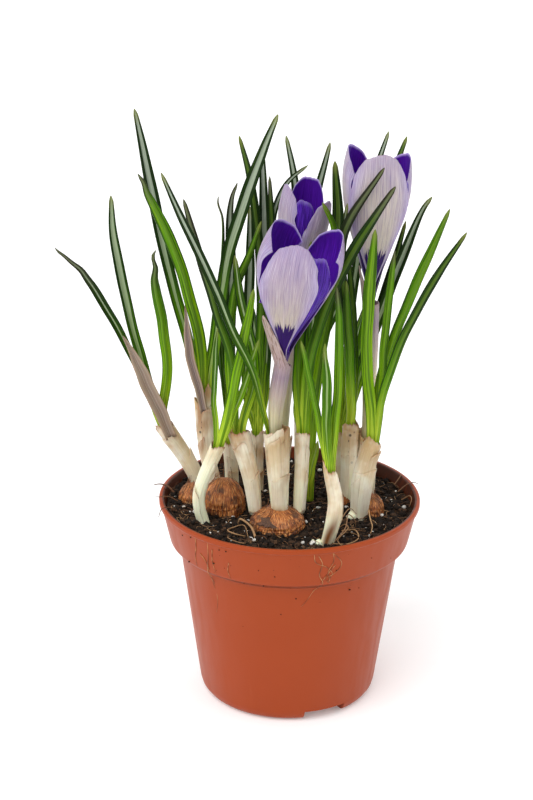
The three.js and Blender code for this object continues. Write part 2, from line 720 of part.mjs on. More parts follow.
// A thin sheet over a grid of points, thickened inwards. Both faces are split into triangles alike.
function makeSheet(grid, thickness) {
  const columns = grid[0].length;
  const outer = grid.flat();
  const at = (row, column) => row * columns + column;
  const cells = [];
  for (let row = 0; row + 1 < grid.length; row++)
    for (let column = 0; column + 1 < columns; column++) {
      const [a, b] = [at(row, column), at(row, column + 1)];
      const [c, d] = [at(row + 1, column + 1), at(row + 1, column)];
      cells.push([a, b, c], [a, c, d]);
    }
  const skin = surface(outer, cells.flat());
  skin.computeVertexNormals();
  const normals = skin.getAttribute("normal");
  const inner = outer.map((point, i) =>
    point.clone().addScaledVector(vector([0, 0, 0]).fromBufferAttribute(normals, i), -thickness),
  );
  const last = grid.length - 1;
  const border = [
    ...shares(0, columns - 1, columns - 1).map((column) => at(0, column)),
    ...shares(1, last, last - 1).map((row) => at(row, columns - 1)),
    ...shares(columns - 2, 0, columns - 2).map((column) => at(last, column)),
    ...shares(last - 1, 1, last - 2).map((row) => at(row, 0)),
  ];
  const count = outer.length;
  const faces = [...cells.flat(), ...cells.flatMap(([a, b, c]) => [a + count, c + count, b + count])];
  border.forEach((a, i) => {
    const b = border[(i + 1) % border.length];
    faces.push(b, a, a + count, b, a + count, b + count);
  });
  return toSolid(surface([...outer, ...inner], faces));
}

// One tepal, cupped round its own midline, at an azimuth round the flower's axis.
function makeTepal(flower, { azimuth, width, height = 1, hollow = TEPAL.hollow }, inset) {
  const axis = flowerAxis(flower);
  const outward = heading(azimuth);
  const across = heading(azimuth + 90);
  const grid = shares(TEPAL.foot, 1, TEPAL.rows - 1).map((share) => {
    const rise = share * height;
    const radius = Math.max(TEPAL.claw, cupRadius(rise, flower.reach) - inset);
    const bend = Math.max(TEPAL.leastHollow, hollow * radius);
    const half = tepalHalfWidth(share, width);
    return shares(-1, 1, TEPAL.columns - 1).map((s) => {
      const angle = (s * half) / bend;
      const drop = (TEPAL.corner * Math.abs(s) ** 3 * share ** 4) / axis.distance();
      return axis
        .at(rise - drop, vector([0, 0, 0]))
        .addScaledVector(outward, radius - bend * (1 - Math.cos(angle)))
        .addScaledVector(across, bend * Math.sin(angle));
    });
  });
  return makeSheet(grid, TEPAL.thickness);
}

const flowerAxis = ({ throat, top }) => new THREE.Line3(vector(throat), vector(top));
const tubeCurve = ({ foot, waist, throat }) => new THREE.CatmullRomCurve3([foot, waist, throat].map(vector));

// Three outer and three inner tepals, which run down into one slender tube.
function makeFlower(flower) {
  const axis = flowerAxis(flower);
  const tube = loft(
    shares(0, 1, TUBE.rings - 1).map((share) => roundRing(tubeCurve(flower), share, TUBE.radius, TUBE.sides)),
  );
  const heights = [-TUBE.plugDepth, TEPAL.throatHeight].map((height) => height / axis.distance());
  const throat = new THREE.LineCurve3(...heights.map((share) => axis.at(share, vector([0, 0, 0]))));
  const radii = [TUBE.radius, cupRadius(heights[1], flower.reach) + TUBE.plugMargin];
  const plug = loft(radii.map((radius, share) => roundRing(throat, share, radius, TUBE.sides)));
  const outer = flower.outer.map((tepal) => makeTepal(flower, tepal, 0));
  const inner = flower.inner.map(({ height = 1, ...tepal }) =>
    makeTepal(flower, { ...tepal, height: height * TEPAL.innerHeight }, TEPAL.innerInset * flower.reach),
  );
  return unite([tube, plug, ...outer, ...inner]);
}

// The papery sleeve round a flower's tube, with one side drawn up into a pointed flap.
function makeSpathe(flower) {
  const { top, flap, face } = flower.spathe;
  const curve = tubeCurve(flower);
  const [low, high] = [flower.foot[2], flower.throat[2]];
  const shareAt = (z) => (z - low) / (high - low);
  const crest = curve.getPointAt(shareAt(top));
  const draw = vector(flap).sub(crest);
  draw.addScaledVector(draw.clone().setZ(0).normalize(), -TUBE.radius - SPATHE.gap - SPATHE.swell);
  const inner = TUBE.radius + SPATHE.gap;
  const stations = [[SPATHE.foot, inner], [SPATHE.narrow, inner], [SPATHE.wide, inner + SPATHE.swell]];
  const sleeve = (grow) => [
    ...stations.map(([share, radius]) => roundRing(curve, share, radius + grow, SPATHE.sides)),
    ...[0.5, 1].map((drawn) =>
      roundRing(curve, shareAt(top), inner + SPATHE.swell + grow, SPATHE.sides).map((point, i) => {
        const angle = (2 * Math.PI * i) / SPATHE.sides;
        const pull = Math.max(0, Math.cos(angle - radians(face))) ** 2;
        return point.addScaledVector(draw, drawn * pull);
      }),
    ),
  ];
  return loft([...sleeve(SPATHE.wall), ...sleeve(0).toReversed()], true);
}

// A tapering rod through some points, with a radius at each end.
function makeRod(points, radii, sides = 3) {
  const curve = new THREE.CatmullRomCurve3(points);
  const stations = shares(0, 1, points.length - 1);
  return loft(stations.map((share) => roundRing(curve, share, readOff(radii, share), sides)));
}

// Three anthers on their filaments, round a style that ends in a split stigma.
function makeStamens(flower) {
  const axis = flowerAxis(flower);
  const length = axis.distance();
  const place = (height, azimuth, reach) =>
    axis.at(height / length, vector([0, 0, 0])).addScaledVector(heading(azimuth), reach);
  const seat = TEPAL.throatHeight + CLEARANCE;
  const style = makeRod([place(seat, 0, 0), place(STAMEN.styleTop, 0, 0)], STAMEN.styleRadii);
  const anthers = flower.outer.map(({ azimuth }) =>
    makeRod(
      [[seat + 0.2, 0.2], ...STAMEN.antherRoute].map(([height, reach]) => place(height, azimuth, reach)),
      STAMEN.antherRadii,
    ),
  );
  const stigmas = flower.outer.map(({ azimuth }) =>
    makeRod(
      STAMEN.stigmaRoute.map(([height, reach]) => place(height, azimuth, reach)),
      STAMEN.stigmaRadii,
    ),
  );
  return unite([style, ...anthers, ...stigmas]);
}

// ---------------------------------------------------------------- the whole plant
const object = new THREE.Group();
const sheaths = [SHOOTS, FLOWERS].flatMap(Object.values).map(({ sheath }) => sheath).filter(Boolean);
const holes = unite(sheaths.map(sheathHole));

const potGroup = new THREE.Group();
const cormHoles = unite(Object.values(CORMS).map((corm) => makeCorm(corm, CLEARANCE)));
const crowns = Object.values(SHOOTS).filter(({ crown }) => crown);
const crownHoles = crowns.map(({ crown }) => {
  const foot = vector(crown.foot).setZ(crown.foot[2] - CLEARANCE);
  const curve = new THREE.LineCurve3(foot, foot.clone().setZ(foot.z + CROWN_HOLE_DEPTH));
  return loft([0, 1].map((share) => roundRing(curve, share, crown.radius + CLEARANCE, SHEATH.sides)));
});
const soil = makeSoil().subtract(cormHoles).subtract(holes).subtract(unite(crownHoles));
potGroup.add(toMesh("pot", makePot(), COLOURS.pot), toMesh("soil", soil, COLOURS.soil));
object.add(potGroup);

const cormGroup = new THREE.Group();
for (const [name, corm] of Object.entries(CORMS))
  cormGroup.add(toMesh(name, makeCorm(corm).subtract(holes), COLOURS.corm));
object.add(cormGroup);

for (const [name, shoot] of Object.entries(SHOOTS)) {
  const group = new THREE.Group();
  if (shoot.sheath) group.add(toMesh(`sheath_${name}`, makeSheath(shoot), COLOURS.sheath));
  group.add(toMesh(`leaves_${name}`, makeLeaves(shoot), COLOURS.leaf));
  object.add(group);
}

for (const [name, flower] of Object.entries(FLOWERS)) {
  const group = new THREE.Group();
  if (flower.sheath) group.add(toMesh(`sheath_${name}_flower`, makeSheath(flower), COLOURS.sheath));
  group.add(toMesh(`flower_${name}`, makeFlower(flower), COLOURS.flower));
  group.add(toMesh(`spathe_${name}`, makeSpathe(flower), COLOURS.spathe));
  group.add(toMesh(`stamens_${name}`, makeStamens(flower), COLOURS.stamen));
  object.add(group);
}

export default object;
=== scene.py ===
"""A clump of striped crocuses in bloom in a plastic nursery pot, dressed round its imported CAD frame.

Tables and sizes are in millimetres, as in the part's own source, and the meshes are scaled to metres as they
are made.
"""

import bpy
import numpy as np
from mathutils import Matrix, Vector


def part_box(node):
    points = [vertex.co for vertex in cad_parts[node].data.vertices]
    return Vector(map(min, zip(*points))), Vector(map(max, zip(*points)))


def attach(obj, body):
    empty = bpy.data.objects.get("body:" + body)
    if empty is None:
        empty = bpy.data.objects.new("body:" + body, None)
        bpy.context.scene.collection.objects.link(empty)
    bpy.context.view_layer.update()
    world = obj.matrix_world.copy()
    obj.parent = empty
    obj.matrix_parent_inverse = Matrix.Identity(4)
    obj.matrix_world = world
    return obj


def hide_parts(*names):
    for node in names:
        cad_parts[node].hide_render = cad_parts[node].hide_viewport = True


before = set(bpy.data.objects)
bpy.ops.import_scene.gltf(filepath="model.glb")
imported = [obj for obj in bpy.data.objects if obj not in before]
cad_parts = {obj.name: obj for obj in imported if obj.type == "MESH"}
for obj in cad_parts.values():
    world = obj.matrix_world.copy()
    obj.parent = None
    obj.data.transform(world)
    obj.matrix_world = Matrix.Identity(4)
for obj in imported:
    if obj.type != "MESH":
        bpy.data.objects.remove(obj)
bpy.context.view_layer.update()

MM = 0.001
TURN = 2 * np.pi

# ---------------------------------------------------------------- the plant's routes and sizes
pot_low, pot_high = (np.array(corner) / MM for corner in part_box("pot"))

POT = {
    "height": pot_high[2],
    "rim_radius": (pot_high[0] - pot_low[0]) / 2,
    "band_foot_radius": 47.8,
    "band_height": 17,
    "step_height": 2.6,
    "neck_radius": 44,
    "foot_radius": 35.2,
    "corner_radius": 4,
    "wall": 1.3,
    "floor_height": 3.2,
    "floor_thickness": 1.4,
    "foot_ring_width": 2.4,
    "middle_foot_radius": 8,
    "lip_inset": 0.9,
    "lip_height": 1.7,
    "lip_slope": 0.6,
    "lip_width": 2.0,
    "sides": 144,
}
BAND_FOOT = POT["height"] - POT["band_height"]
NECK = BAND_FOOT - POT["step_height"]
FLOOR_TOP = POT["floor_height"] + POT["floor_thickness"]
NOTCH = {
    "count": 3,
    "first_azimuth": -65,
    "width": 17.5,
    "height": 2.8,
    "depth": 8,
    "lip_height": 4.4,
    "lip_depth": 6.8,
}
DRAIN = {"count": 6, "ring_radius": 20, "radius": 3.2}

SOIL = {"height": 79.2, "slope_x": -0.018, "slope_y": -0.024, "bump": 0.45, "gap": 0.3}
LITTER = {"crumbs": 7000, "perlite": 210, "fibres": 330, "stuck_crumbs": 46, "smallest": 0.22}

# How finely the surfaces are divided: rows along them, then points round or across them.
MESH = {
    "soil": (46, 150),
    "corm": (60, 110),
    "sleeve": (40, 72),
    "wrap": (26, 40),
    "tepal": (60, 41),
    "flower_tube": (60, 24),
    "spathe": (40, 48),
    "hair": (30, 5),
    "root": (26, 6),
}

BLADE = {
    "groove": 0.3,
    "keel": 0.65,
    "lift": 0.22,  # how much the margins rise, as a share of half the width
    "foot_width": 0.8,  # a share of the width
    "tip_width": 0.34,  # a share of the width, before the tip is rounded
    "tip_length": 2.4,
    "row_spacing": 1.4,
    "pale_length": 34,
    "ripe_length": 7,
}
# Wall is that of the solid, torn is how uneven the mouth is, root is the share of the height where leaves
# start and seat is how far out they stand.
SHEATH = {"wall": 0.75, "thin_wall": 0.3, "wrinkle": 0.07, "torn": 1.8, "root": 0.78, "seat": 0.4}
# Azimuths and widths round a sheath in radians, heights as shares of it.
WRAP = {"gap": 0.2, "thickness": 0.16}
COLLAR = {"middle": -1.5, "width": 1.5, "brown": 0.12}
FOLD = {"middle": -1.75, "width": 0.8, "height": 1.02, "brown": 0.3, "low": 0.86, "lean": 0.07}
# Radii and heights of a corm, as shares of its half sizes.
CORM_OUTLINE = [
    [0, -0.4], [0.92, -0.4], [1, 0.12], [0.94, 0.34], [0.95, 0.42], [0.82, 0.72], [0.48, 0.93], [0, 1],
]
CORM = {"ribs": 6, "rib_depth": 0.03, "groove": 0.44, "groove_depth": 0.045, "strands": 60}
TEPAL = {
    "claw": 1.3,  # half the width of its foot
    "widest": 0.76,  # a share of its height
    "flare": 1.45,
    "top_fall": 0.12,  # how much narrower its top is
    "belly": 0.75,  # where the cup is widest
    "cup_flare": 1.3,
    "corner": 9.5,  # how far its corners are rounded down
    "throat_height": 4.2,
    "thickness": 0.42,
    "inner_share": 0.9,  # height of the inner ones
    "inner_inset": 0.13,  # a share of the cup's reach
}
TUBE_RADIUS = 1.4
SPATHE = {"wall": 0.5, "inside": 0.2, "gap": 0.45, "swell": 0.9, "foot": 0.06}
# Heights above the throat and distances from the axis of one lobe of an anther.
ANTHER = [(10.5, 1.0), (13, 1.7), (17, 2.0), (21, 2.3), (23.2, 2.4)]

# The middle and the half sizes of each corm.
CORMS = {
    "corm_front": ([-5, -23, 79], [10.8, 10.6, 8.5]),
    "corm_mid_left": ([-26, -8, 79], [8.4, 8.6, 14.5]),
    "corm_left_rear": ([-38.5, 3, 78], [6, 6.5, 8.5]),
    "corm_right_rear": ([31, -6, 78], [6.6, 6.8, 8.5]),
    "corm_back": ([21, 4.5, 77], [5, 5.4, 8.5]),
}


def leaf(points, width, face, tone, turn=0, seat=None, stripe=0.2, dry=0.0, curl=0.0):
    """A leaf's route, full width, azimuth of its grooved side and twist. Tone runs from lime green at 0 to
    dark green at 1. Seat is how far from the middle of its sheath it stands, stripe is the white band's share
    of the width, dry is how much of the length has withered, and curl is how far that end wriggles."""
    return {
        "points": points, "width": width, "face": face, "tone": tone, "turn": turn, "seat": seat,
        "stripe": stripe, "dry": dry, "curl": curl,
    }


def sheath(
    points, radii, tear, age=0.3, specks=0.0, peak=(-60, 1.5), stain=0.0, knobs=(), collar=None, fold=False,
):
    """A sheath's route and its radii at foot, bend and mouth, the number that its tears are drawn from, how
    brown and how speckled it is, the azimuth and the height of the point that its mouth is torn into, how
    stained its front is, and the middles and radii of its root knobs. A collar is the height, as a share,
    where a broad outer layer ends, and a fold is a narrow flap across the mouth."""
    return {
        "points": points, "radii": radii, "tear": tear, "age": age, "specks": specks, "peak": peak,
        "stain": stain, "knobs": knobs, "collar": collar, "fold": fold,
    }


def shoot(sheath, *leaves, bract=None):
    """A sheath, or None, with the leaves that stand in it and perhaps the bract on its rim."""
    return {"sheath": sheath, "leaves": leaves, "bract": bract}


# The shoots that bear leaves alone. The middle one has no sheath in sight: its leaves rise from CROWN.
CROWN = [8, 0, 80.4]
SHOOTS = {
    "far_left": shoot(
        sheath(
            [[-35, 17, 77], [-41, 17, 90], [-50, 18, 104]],
            [2.9, 3.1, 3.6], 1, age=0.4, peak=(-120, 4),
        ),
        leaf(
            [[-60, 14.5, 129.8], [-70.2, 9, 154], [-81, 6, 173], [-91, 4, 184]],
            3.4, -40, 0.75, turn=-20, stripe=0.15, dry=0.2, curl=0.9,
        ),
        leaf([[-64, 20, 150], [-70, 23, 182], [-71, 25, 199]], 4.4, -60, 0.68, stripe=0.5),
        leaf(
            [[-51.2, 16.5, 112], [-49.4, 14, 130], [-50.8, 11, 151], [-53.4, 8, 174], [-52, 8, 182]],
            4.2, 90, 0.3, dry=0.16, curl=1.3,
        ),
        bract=leaf([[-60, 10, 134], [-66, 8, 147]], 5.6, -80, 0.6),
    ),
    "left": shoot(
        sheath(
            [[-29, -3, 86], [-33, -2, 104], [-34, 1, 123]],
            [2.4, 3.1, 3.8], 2, age=0.9, specks=1.0, peak=(-60, 7),
        ),
        leaf([[-46, 7, 167], [-60, 8, 237]], 4.7, -60, 0.9, stripe=0.42),
        leaf(
            [[-35, 0, 144], [-39.9, -2, 169], [-46, -5, 189], [-58, -8, 216]],
            4.6, 100, 0.3, dry=0.1, curl=0.8,
        ),
        leaf([[-27, 4, 166], [-23, 6, 186], [-11, 12, 222], [-6, 14, 234]], 5, -100, 0.85, stripe=0.42),
        bract=leaf([[-39, -4, 144], [-41, -5, 164]], 3.6, -90, 1.0),
    ),
    "front_left": shoot(
        sheath(
            [[-33, -20, 77], [-35.5, -20.5, 91], [-28, -22, 113]],
            [2.4, 2.4, 2.8], 3, age=0.05, peak=(-90, 1),
        ),
        leaf([[-29.6, -22, 134], [-28, -23, 161]], 2.2, -90, 0.4),
        leaf([[-21.5, -24, 141], [-17, -24, 162], [-14.5, -25, 177]], 4, 90, 0.15),
        leaf([[-18, -21.5, 138], [-12.5, -21, 156]], 2.6, -90, 0.2),
    ),
    "mid_left": shoot(
        sheath(
            [[-13.5, -19.5, 84], [-15.5, -19.5, 100], [-20, -18, 117]],
            [2.3, 3.3, 4.3], 4, age=0.4, peak=(-150, 4),
        ),
        leaf([[-23, -15, 144], [-29, -12, 164], [-41, -10, 207]], 3.6, 80, 0.85, dry=0.3),
        leaf([[-14, -12, 140], [-19, -7, 164], [-22, -5, 184]], 3.8, -90, 0.5),
        leaf([[-24.4, -10, 142], [-22, -2, 168], [-16.4, -1, 183], [-12, 0, 196]], 3.4, 90, 0.45),
    ),
    "front": shoot(
        sheath(
            [[-4, -21.5, 86], [-4.8, -21, 103], [-5.6, -21, 119]],
            [3.2, 4.3, 5.2], 5, age=0.45, peak=(-25, 3), fold=True,
        ),
        leaf(
            [
                [-10.8, -22, 127], [-14.5, -24.5, 142.8], [-22, -27.5, 160.4], [-28, -28, 175.5],
                [-48, -30, 222],
            ],
            3.5, -20, 0.9, turn=-90, seat=0.76, stripe=0.3,
        ),
    ),
    "front_middle": shoot(
        sheath([[3.5, -18, 84], [4.2, -17, 101], [4.5, -16, 116]], [2.3, 2.6, 2.8], 6, age=0.3),
        leaf([[7, -15, 148], [15, -11, 172], [24, -14, 191], [37, -20, 215]], 4.6, 100, 0.72, dry=0.12),
        leaf([[2.5, -14, 140], [5, -6, 165], [7, 1, 188]], 4.2, 90, 0.55),
        leaf([[2.2, -13, 124], [4, -11, 137], [8.6, -8, 151], [12, -6, 163]], 3.4, 90, 0.3),
    ),
    "middle": shoot(
        None,
        leaf([[9, 1, 120], [15, 2, 165], [16, 2, 192], [11, 2, 203]], 4, 90, 0.25),
        leaf([[8, 4, 120], [10, 6, 150], [11, 3, 172]], 3.4, 90, 0.35),
        leaf([[8, -2, 92], [11, -1, 107]], 3, -90, 0.25),
    ),
    "back_left": shoot(
        sheath([[-23, 11, 76], [-23.5, 11, 90], [-24, 10, 102]], [2.6, 2.8, 3], 7, age=0.2),
        leaf(
            [[-28, 16, 159], [-27, 19, 190], [-29, 21, 200]],
            2.6, -90, 0.8, turn=90, dry=0.1, curl=1.2,
        ),
        leaf(
            [[-24, 18, 175], [-24, 25, 196], [-22, 28, 204]],
            4, -80, 0.95, stripe=0.35, dry=0.12, curl=0.5,
        ),
        leaf([[-24.6, 13, 118], [-24.6, 16, 136], [-26, 18, 166]], 3.2, 90, 0.6),
        leaf([[-24, 12, 110], [-28, 26, 132], [-31, 38, 150]], 3.6, -90, 0.5),
    ),
    "back_middle": shoot(
        sheath([[-13, 12, 76], [-13, 13, 90], [-13, 14, 104]], [2.2, 2.4, 2.6], 8, age=0.8),
        leaf([[-12.5, 20, 178], [-17, 23, 208], [-21, 30, 222]], 3.6, 90, 0.8),
        leaf([[-17, 18, 118], [-16.6, 21, 157], [-16.6, 25, 195]], 4, -90, 0.85, stripe=0.4),
        leaf([[-10.2, 17, 122], [-9.8, 18, 140], [-10.8, 21, 168]], 3.6, -90, 0.85),
        leaf([[-11, 27, 175], [-12, 34, 217]], 4.4, -90, 0.95, stripe=0.4),
        leaf([[-8, 23, 178], [-9, 30, 206]], 3.2, 90, 0.8, dry=0.08),
        leaf([[-9, 26, 170], [-7, 30, 192], [-2, 32, 203], [6, 32, 210]], 3, -110, 0.9, stripe=0.35),
        leaf([[-13, 16, 112], [-14, 38, 136], [-17, 56, 148]], 3.8, -90, 0.55),
    ),
    "back": shoot(
        sheath([[5, 29, 76], [5, 29, 90], [5, 30, 104]], [2.5, 2.7, 3], 9, age=0.3),
        leaf([[2.5, 35, 176], [0.9, 37, 202], [-2.6, 44, 219]], 4, -90, 0.9, stripe=0.38),
        leaf([[7, 37, 180], [15, 46, 216]], 4, -90, 0.9, stripe=0.38),
        leaf([[14.6, 29, 161], [18.2, 29, 186], [16.5, 31, 212]], 5.4, 90, 0.85),
        leaf([[5, 32, 112], [9, 50, 136], [12, 66, 152]], 3.8, -90, 0.5),
        leaf([[14, 42, 136], [27, 56, 160]], 3.6, -100, 0.6),
    ),
    "front_right": shoot(
        sheath(
            [[13, -39, 76], [17, -36.5, 95], [15, -34, 107]],
            [2.2, 2.9, 2.5], 10, age=0.2, peak=(-150, 7), stain=1.0,
            knobs=[([10.7, -38.6, 79.8], 1.7), ([8.5, -37.8, 79.7], 1.3)],
        ),
        leaf([[8, -34, 139], [3, -34, 160]], 2.6, 90, 0.3),
        leaf([[13.2, -36, 129], [13, -35.6, 143], [11.6, -35, 157]], 3.6, -90, 0.35),
        leaf([[17, -32, 136], [17.5, -29, 160], [16, -28, 179]], 3.4, 90, 0.3, dry=0.1),
        leaf([[13, -33, 134], [12, -31, 158]], 3, 90, 0.2),
    ),
    "right": shoot(
        sheath(
            [[27, -12, 76], [28.5, -12, 96], [32, -11, 111]],
            [3, 4.2, 3.7], 11, age=0.3, peak=(-130, 2),
            knobs=[([24.4, -14.2, 80.2], 2)], collar=0.66,
        ),
        leaf([[28, -17, 159], [30, -21, 199]], 4.6, 90, 0.2),
        leaf([[36, -12, 162], [38, -14, 189]], 3.2, 90, 0.25, dry=0.06),
        leaf([[33.6, -10, 129], [40.4, -8, 157], [58.6, -6, 203]], 3.8, 90, 0.35),
        leaf([[34.6, -13.5, 129], [42, -17, 155], [52, -20, 178], [63.4, -24, 199]], 3.4, 90, 0.7),
    ),
    "right_middle": shoot(
        sheath([[23, 3, 80], [23.5, 3, 95], [24, 4, 112]], [2.7, 3, 3.3], 12, age=0.25, specks=0.8),
        leaf([[23, 1, 143], [20, -3, 168], [19, -8, 193], [33, -16, 221]], 4, 100, 0.8, dry=0.25),
        leaf([[22, 0, 143], [17, -5, 178], [20, -10, 206]], 3, -90, 0.85),
        leaf([[25, 7, 140], [22, 10, 180]], 3.2, 90, 0.55),
        leaf([[24, -1, 124], [21.4, -4, 154], [20.4, -4, 174]], 4, 90, 0.45),
    ),
    "right_back": shoot(
        sheath([[21, 17, 76], [21, 17, 90], [21, 17, 104]], [2.4, 2.5, 2.7], 13, age=0.6),
        leaf([[31, 14, 140], [40, 9, 172], [49.6, 8, 199], [53, 8, 204]], 4.2, -100, 0.8, stripe=0.35),
        leaf([[30, 16, 140], [36.6, 14, 164], [43.7, 13, 193]], 3.2, 90, 0.85),
        leaf([[26, 28, 170], [32.6, 32, 208], [38, 44, 221]], 3.6, -90, 0.9, stripe=0.38),
        leaf([[34, 26, 170], [40, 29, 209], [45, 40, 220]], 3.6, 90, 0.8),
        leaf([[21, 19, 112], [28, 36, 140], [38, 54, 164]], 3.6, -90, 0.55),
    ),
}


def tepal(azimuth, width, height=1.0, hollow=0.8, tuck=0.0):
    """A tepal's azimuth, its widest half width, its height as a share of the bloom's, how flat it is across
    and how far it is tucked in."""
    return {"azimuth": azimuth, "width": width, "height": height, "hollow": hollow, "tuck": tuck}


# Each bloom's tube rises from foot through waist to throat. Its spathe is given by the height of its mouth,
# the point that its flap is drawn to and the azimuth of the flap's side.
FLOWERS = {
    "front": {
        "sheath": None,
        "foot": [-4.7, -21, 100.2],
        "waist": [-6, -21, 126],
        "throat": [-3.3, -21, 147],
        "top": [4.5, -21, 197],
        "reach": 17.8,
        "outer": [tepal(-106, 11.8, hollow=1.15), tepal(39, 13, 0.98, 0.56), tepal(140, 13.6, 1.06, 0.65)],
        "inner": [tepal(-70, 8.4), tepal(88, 7, 0.85), tepal(203, 4.4, 0.74, tuck=2)],
        "blush": 1.0,
        "spathe": (146, [-11.6, -25.5, 167], -125),
    },
    "back": {
        "sheath": sheath([[-4, 11, 76], [-4, 11, 89], [-3, 11, 103]], [3.2, 3.7, 4], 14),
        "foot": [-4, 11, 87.6],
        "waist": [-2, 11, 122],
        "throat": [1, 11, 160],
        "top": [6, 13, 208],
        "reach": 10.6,
        "outer": [tepal(88, 10), tepal(205, 8.6), tepal(-42, 8.4, 0.88)],
        "inner": [tepal(-100, 7), tepal(24, 6.4, 0.85), tepal(146, 6.4, 0.85)],
        "blush": 0.9,
        "spathe": (158, [6, 14, 170], 30),
    },
    "right": {
        "sheath": sheath([[31, 7.5, 76], [31, 7, 92], [31, 6, 108]], [3.2, 3.7, 4], 15),
        "foot": [31, 6.9, 89.8],
        "waist": [30.8, 5.2, 126],
        "throat": [30.5, 3, 165],
        "top": [32, 3, 224],
        "reach": 13.8,
        "outer": [tepal(-88, 12.4, hollow=1.15), tepal(30, 11.4, 0.94, 0.66), tepal(154, 11.6, hollow=0.62)],
        "inner": [tepal(-34, 7.4, 0.9), tepal(92, 7.4, 0.9), tepal(218, 6.8, 0.86, tuck=1.4)],
        "blush": 0.3,
        "spathe": (163, [26, 3, 178], 180),
    },
}


# ---------------------------------------------------------------- numbers
def vector(values):
    return np.array(values, float)


def unit(v):
    return v / np.maximum(np.linalg.norm(v, axis=-1, keepdims=True), 1e-9)


def heading(azimuth):
    """The level direction at an azimuth in degrees, counted from +X towards +Y."""
    angle = np.radians(azimuth)
    return vector([np.cos(angle), np.sin(angle), 0])


def smooth(value, low, high):
    """Rises smoothly from 0 at low to 1 at high."""
    t = np.clip((value - low) / (high - low), 0, 1)
    return t * t * (3 - 2 * t)


def wander(position, seed, octaves=4):
    """A smooth random line between about -1 and 1, different for each seed."""
    total = 0
    for octave in range(octaves):
        angle = (1.7**octave) * position + 12.9898 * (seed + 1) * (octave + 1)
        total = total + np.sin(angle) / (octave + 1.5)
    return total


class Path:
    """A centripetal Catmull-Rom curve through a few points, read by its own length."""

    def __init__(self, points, samples=24):
        knots = [vector(p) for p in points]
        knots = [2 * knots[0] - knots[1], *knots, 2 * knots[-1] - knots[-2]]
        steps = np.linspace(0, 1, samples, endpoint=False)
        pieces = [self.piece(knots[i : i + 4], steps) for i in range(len(knots) - 3)]
        self.points = np.concatenate([*pieces, knots[-2][None]])
        lengths = np.linalg.norm(np.diff(self.points, axis=0), axis=1)
        self.run = np.concatenate([[0], np.cumsum(lengths)])
        self.length = self.run[-1]

    @staticmethod
    def piece(knots, steps):
        a, b, c, d = knots
        before, middle, after = (np.linalg.norm(q - p) ** 0.5 for p, q in ((a, b), (b, c), (c, d)))
        start = middle * ((b - a) / before - (c - a) / (before + middle) + (c - b) / middle)
        end = middle * ((c - b) / middle - (d - b) / (middle + after) + (d - c) / after)
        t = steps[:, None]
        bend = 2 * b - 2 * c + start + end
        return b + start * t + (3 * c - 3 * b - 2 * start - end) * t**2 + bend * t**3

    def at(self, share):
        place = np.asarray(share) * self.length
        return np.stack([np.interp(place, self.run, self.points[:, axis]) for axis in range(3)], -1)

    def axes(self, share, face):
        """The middle, the way ahead, and the two axes of a section whose upper side looks towards face."""
        share = np.atleast_1d(share)
        nudge = 0.01
        ahead = unit(self.at(np.minimum(share + nudge, 1)) - self.at(np.maximum(share - nudge, 0)))
        up = unit(face - ahead * np.sum(face * ahead, axis=-1, keepdims=True))
        return self.at(share), ahead, up, np.cross(up, ahead)


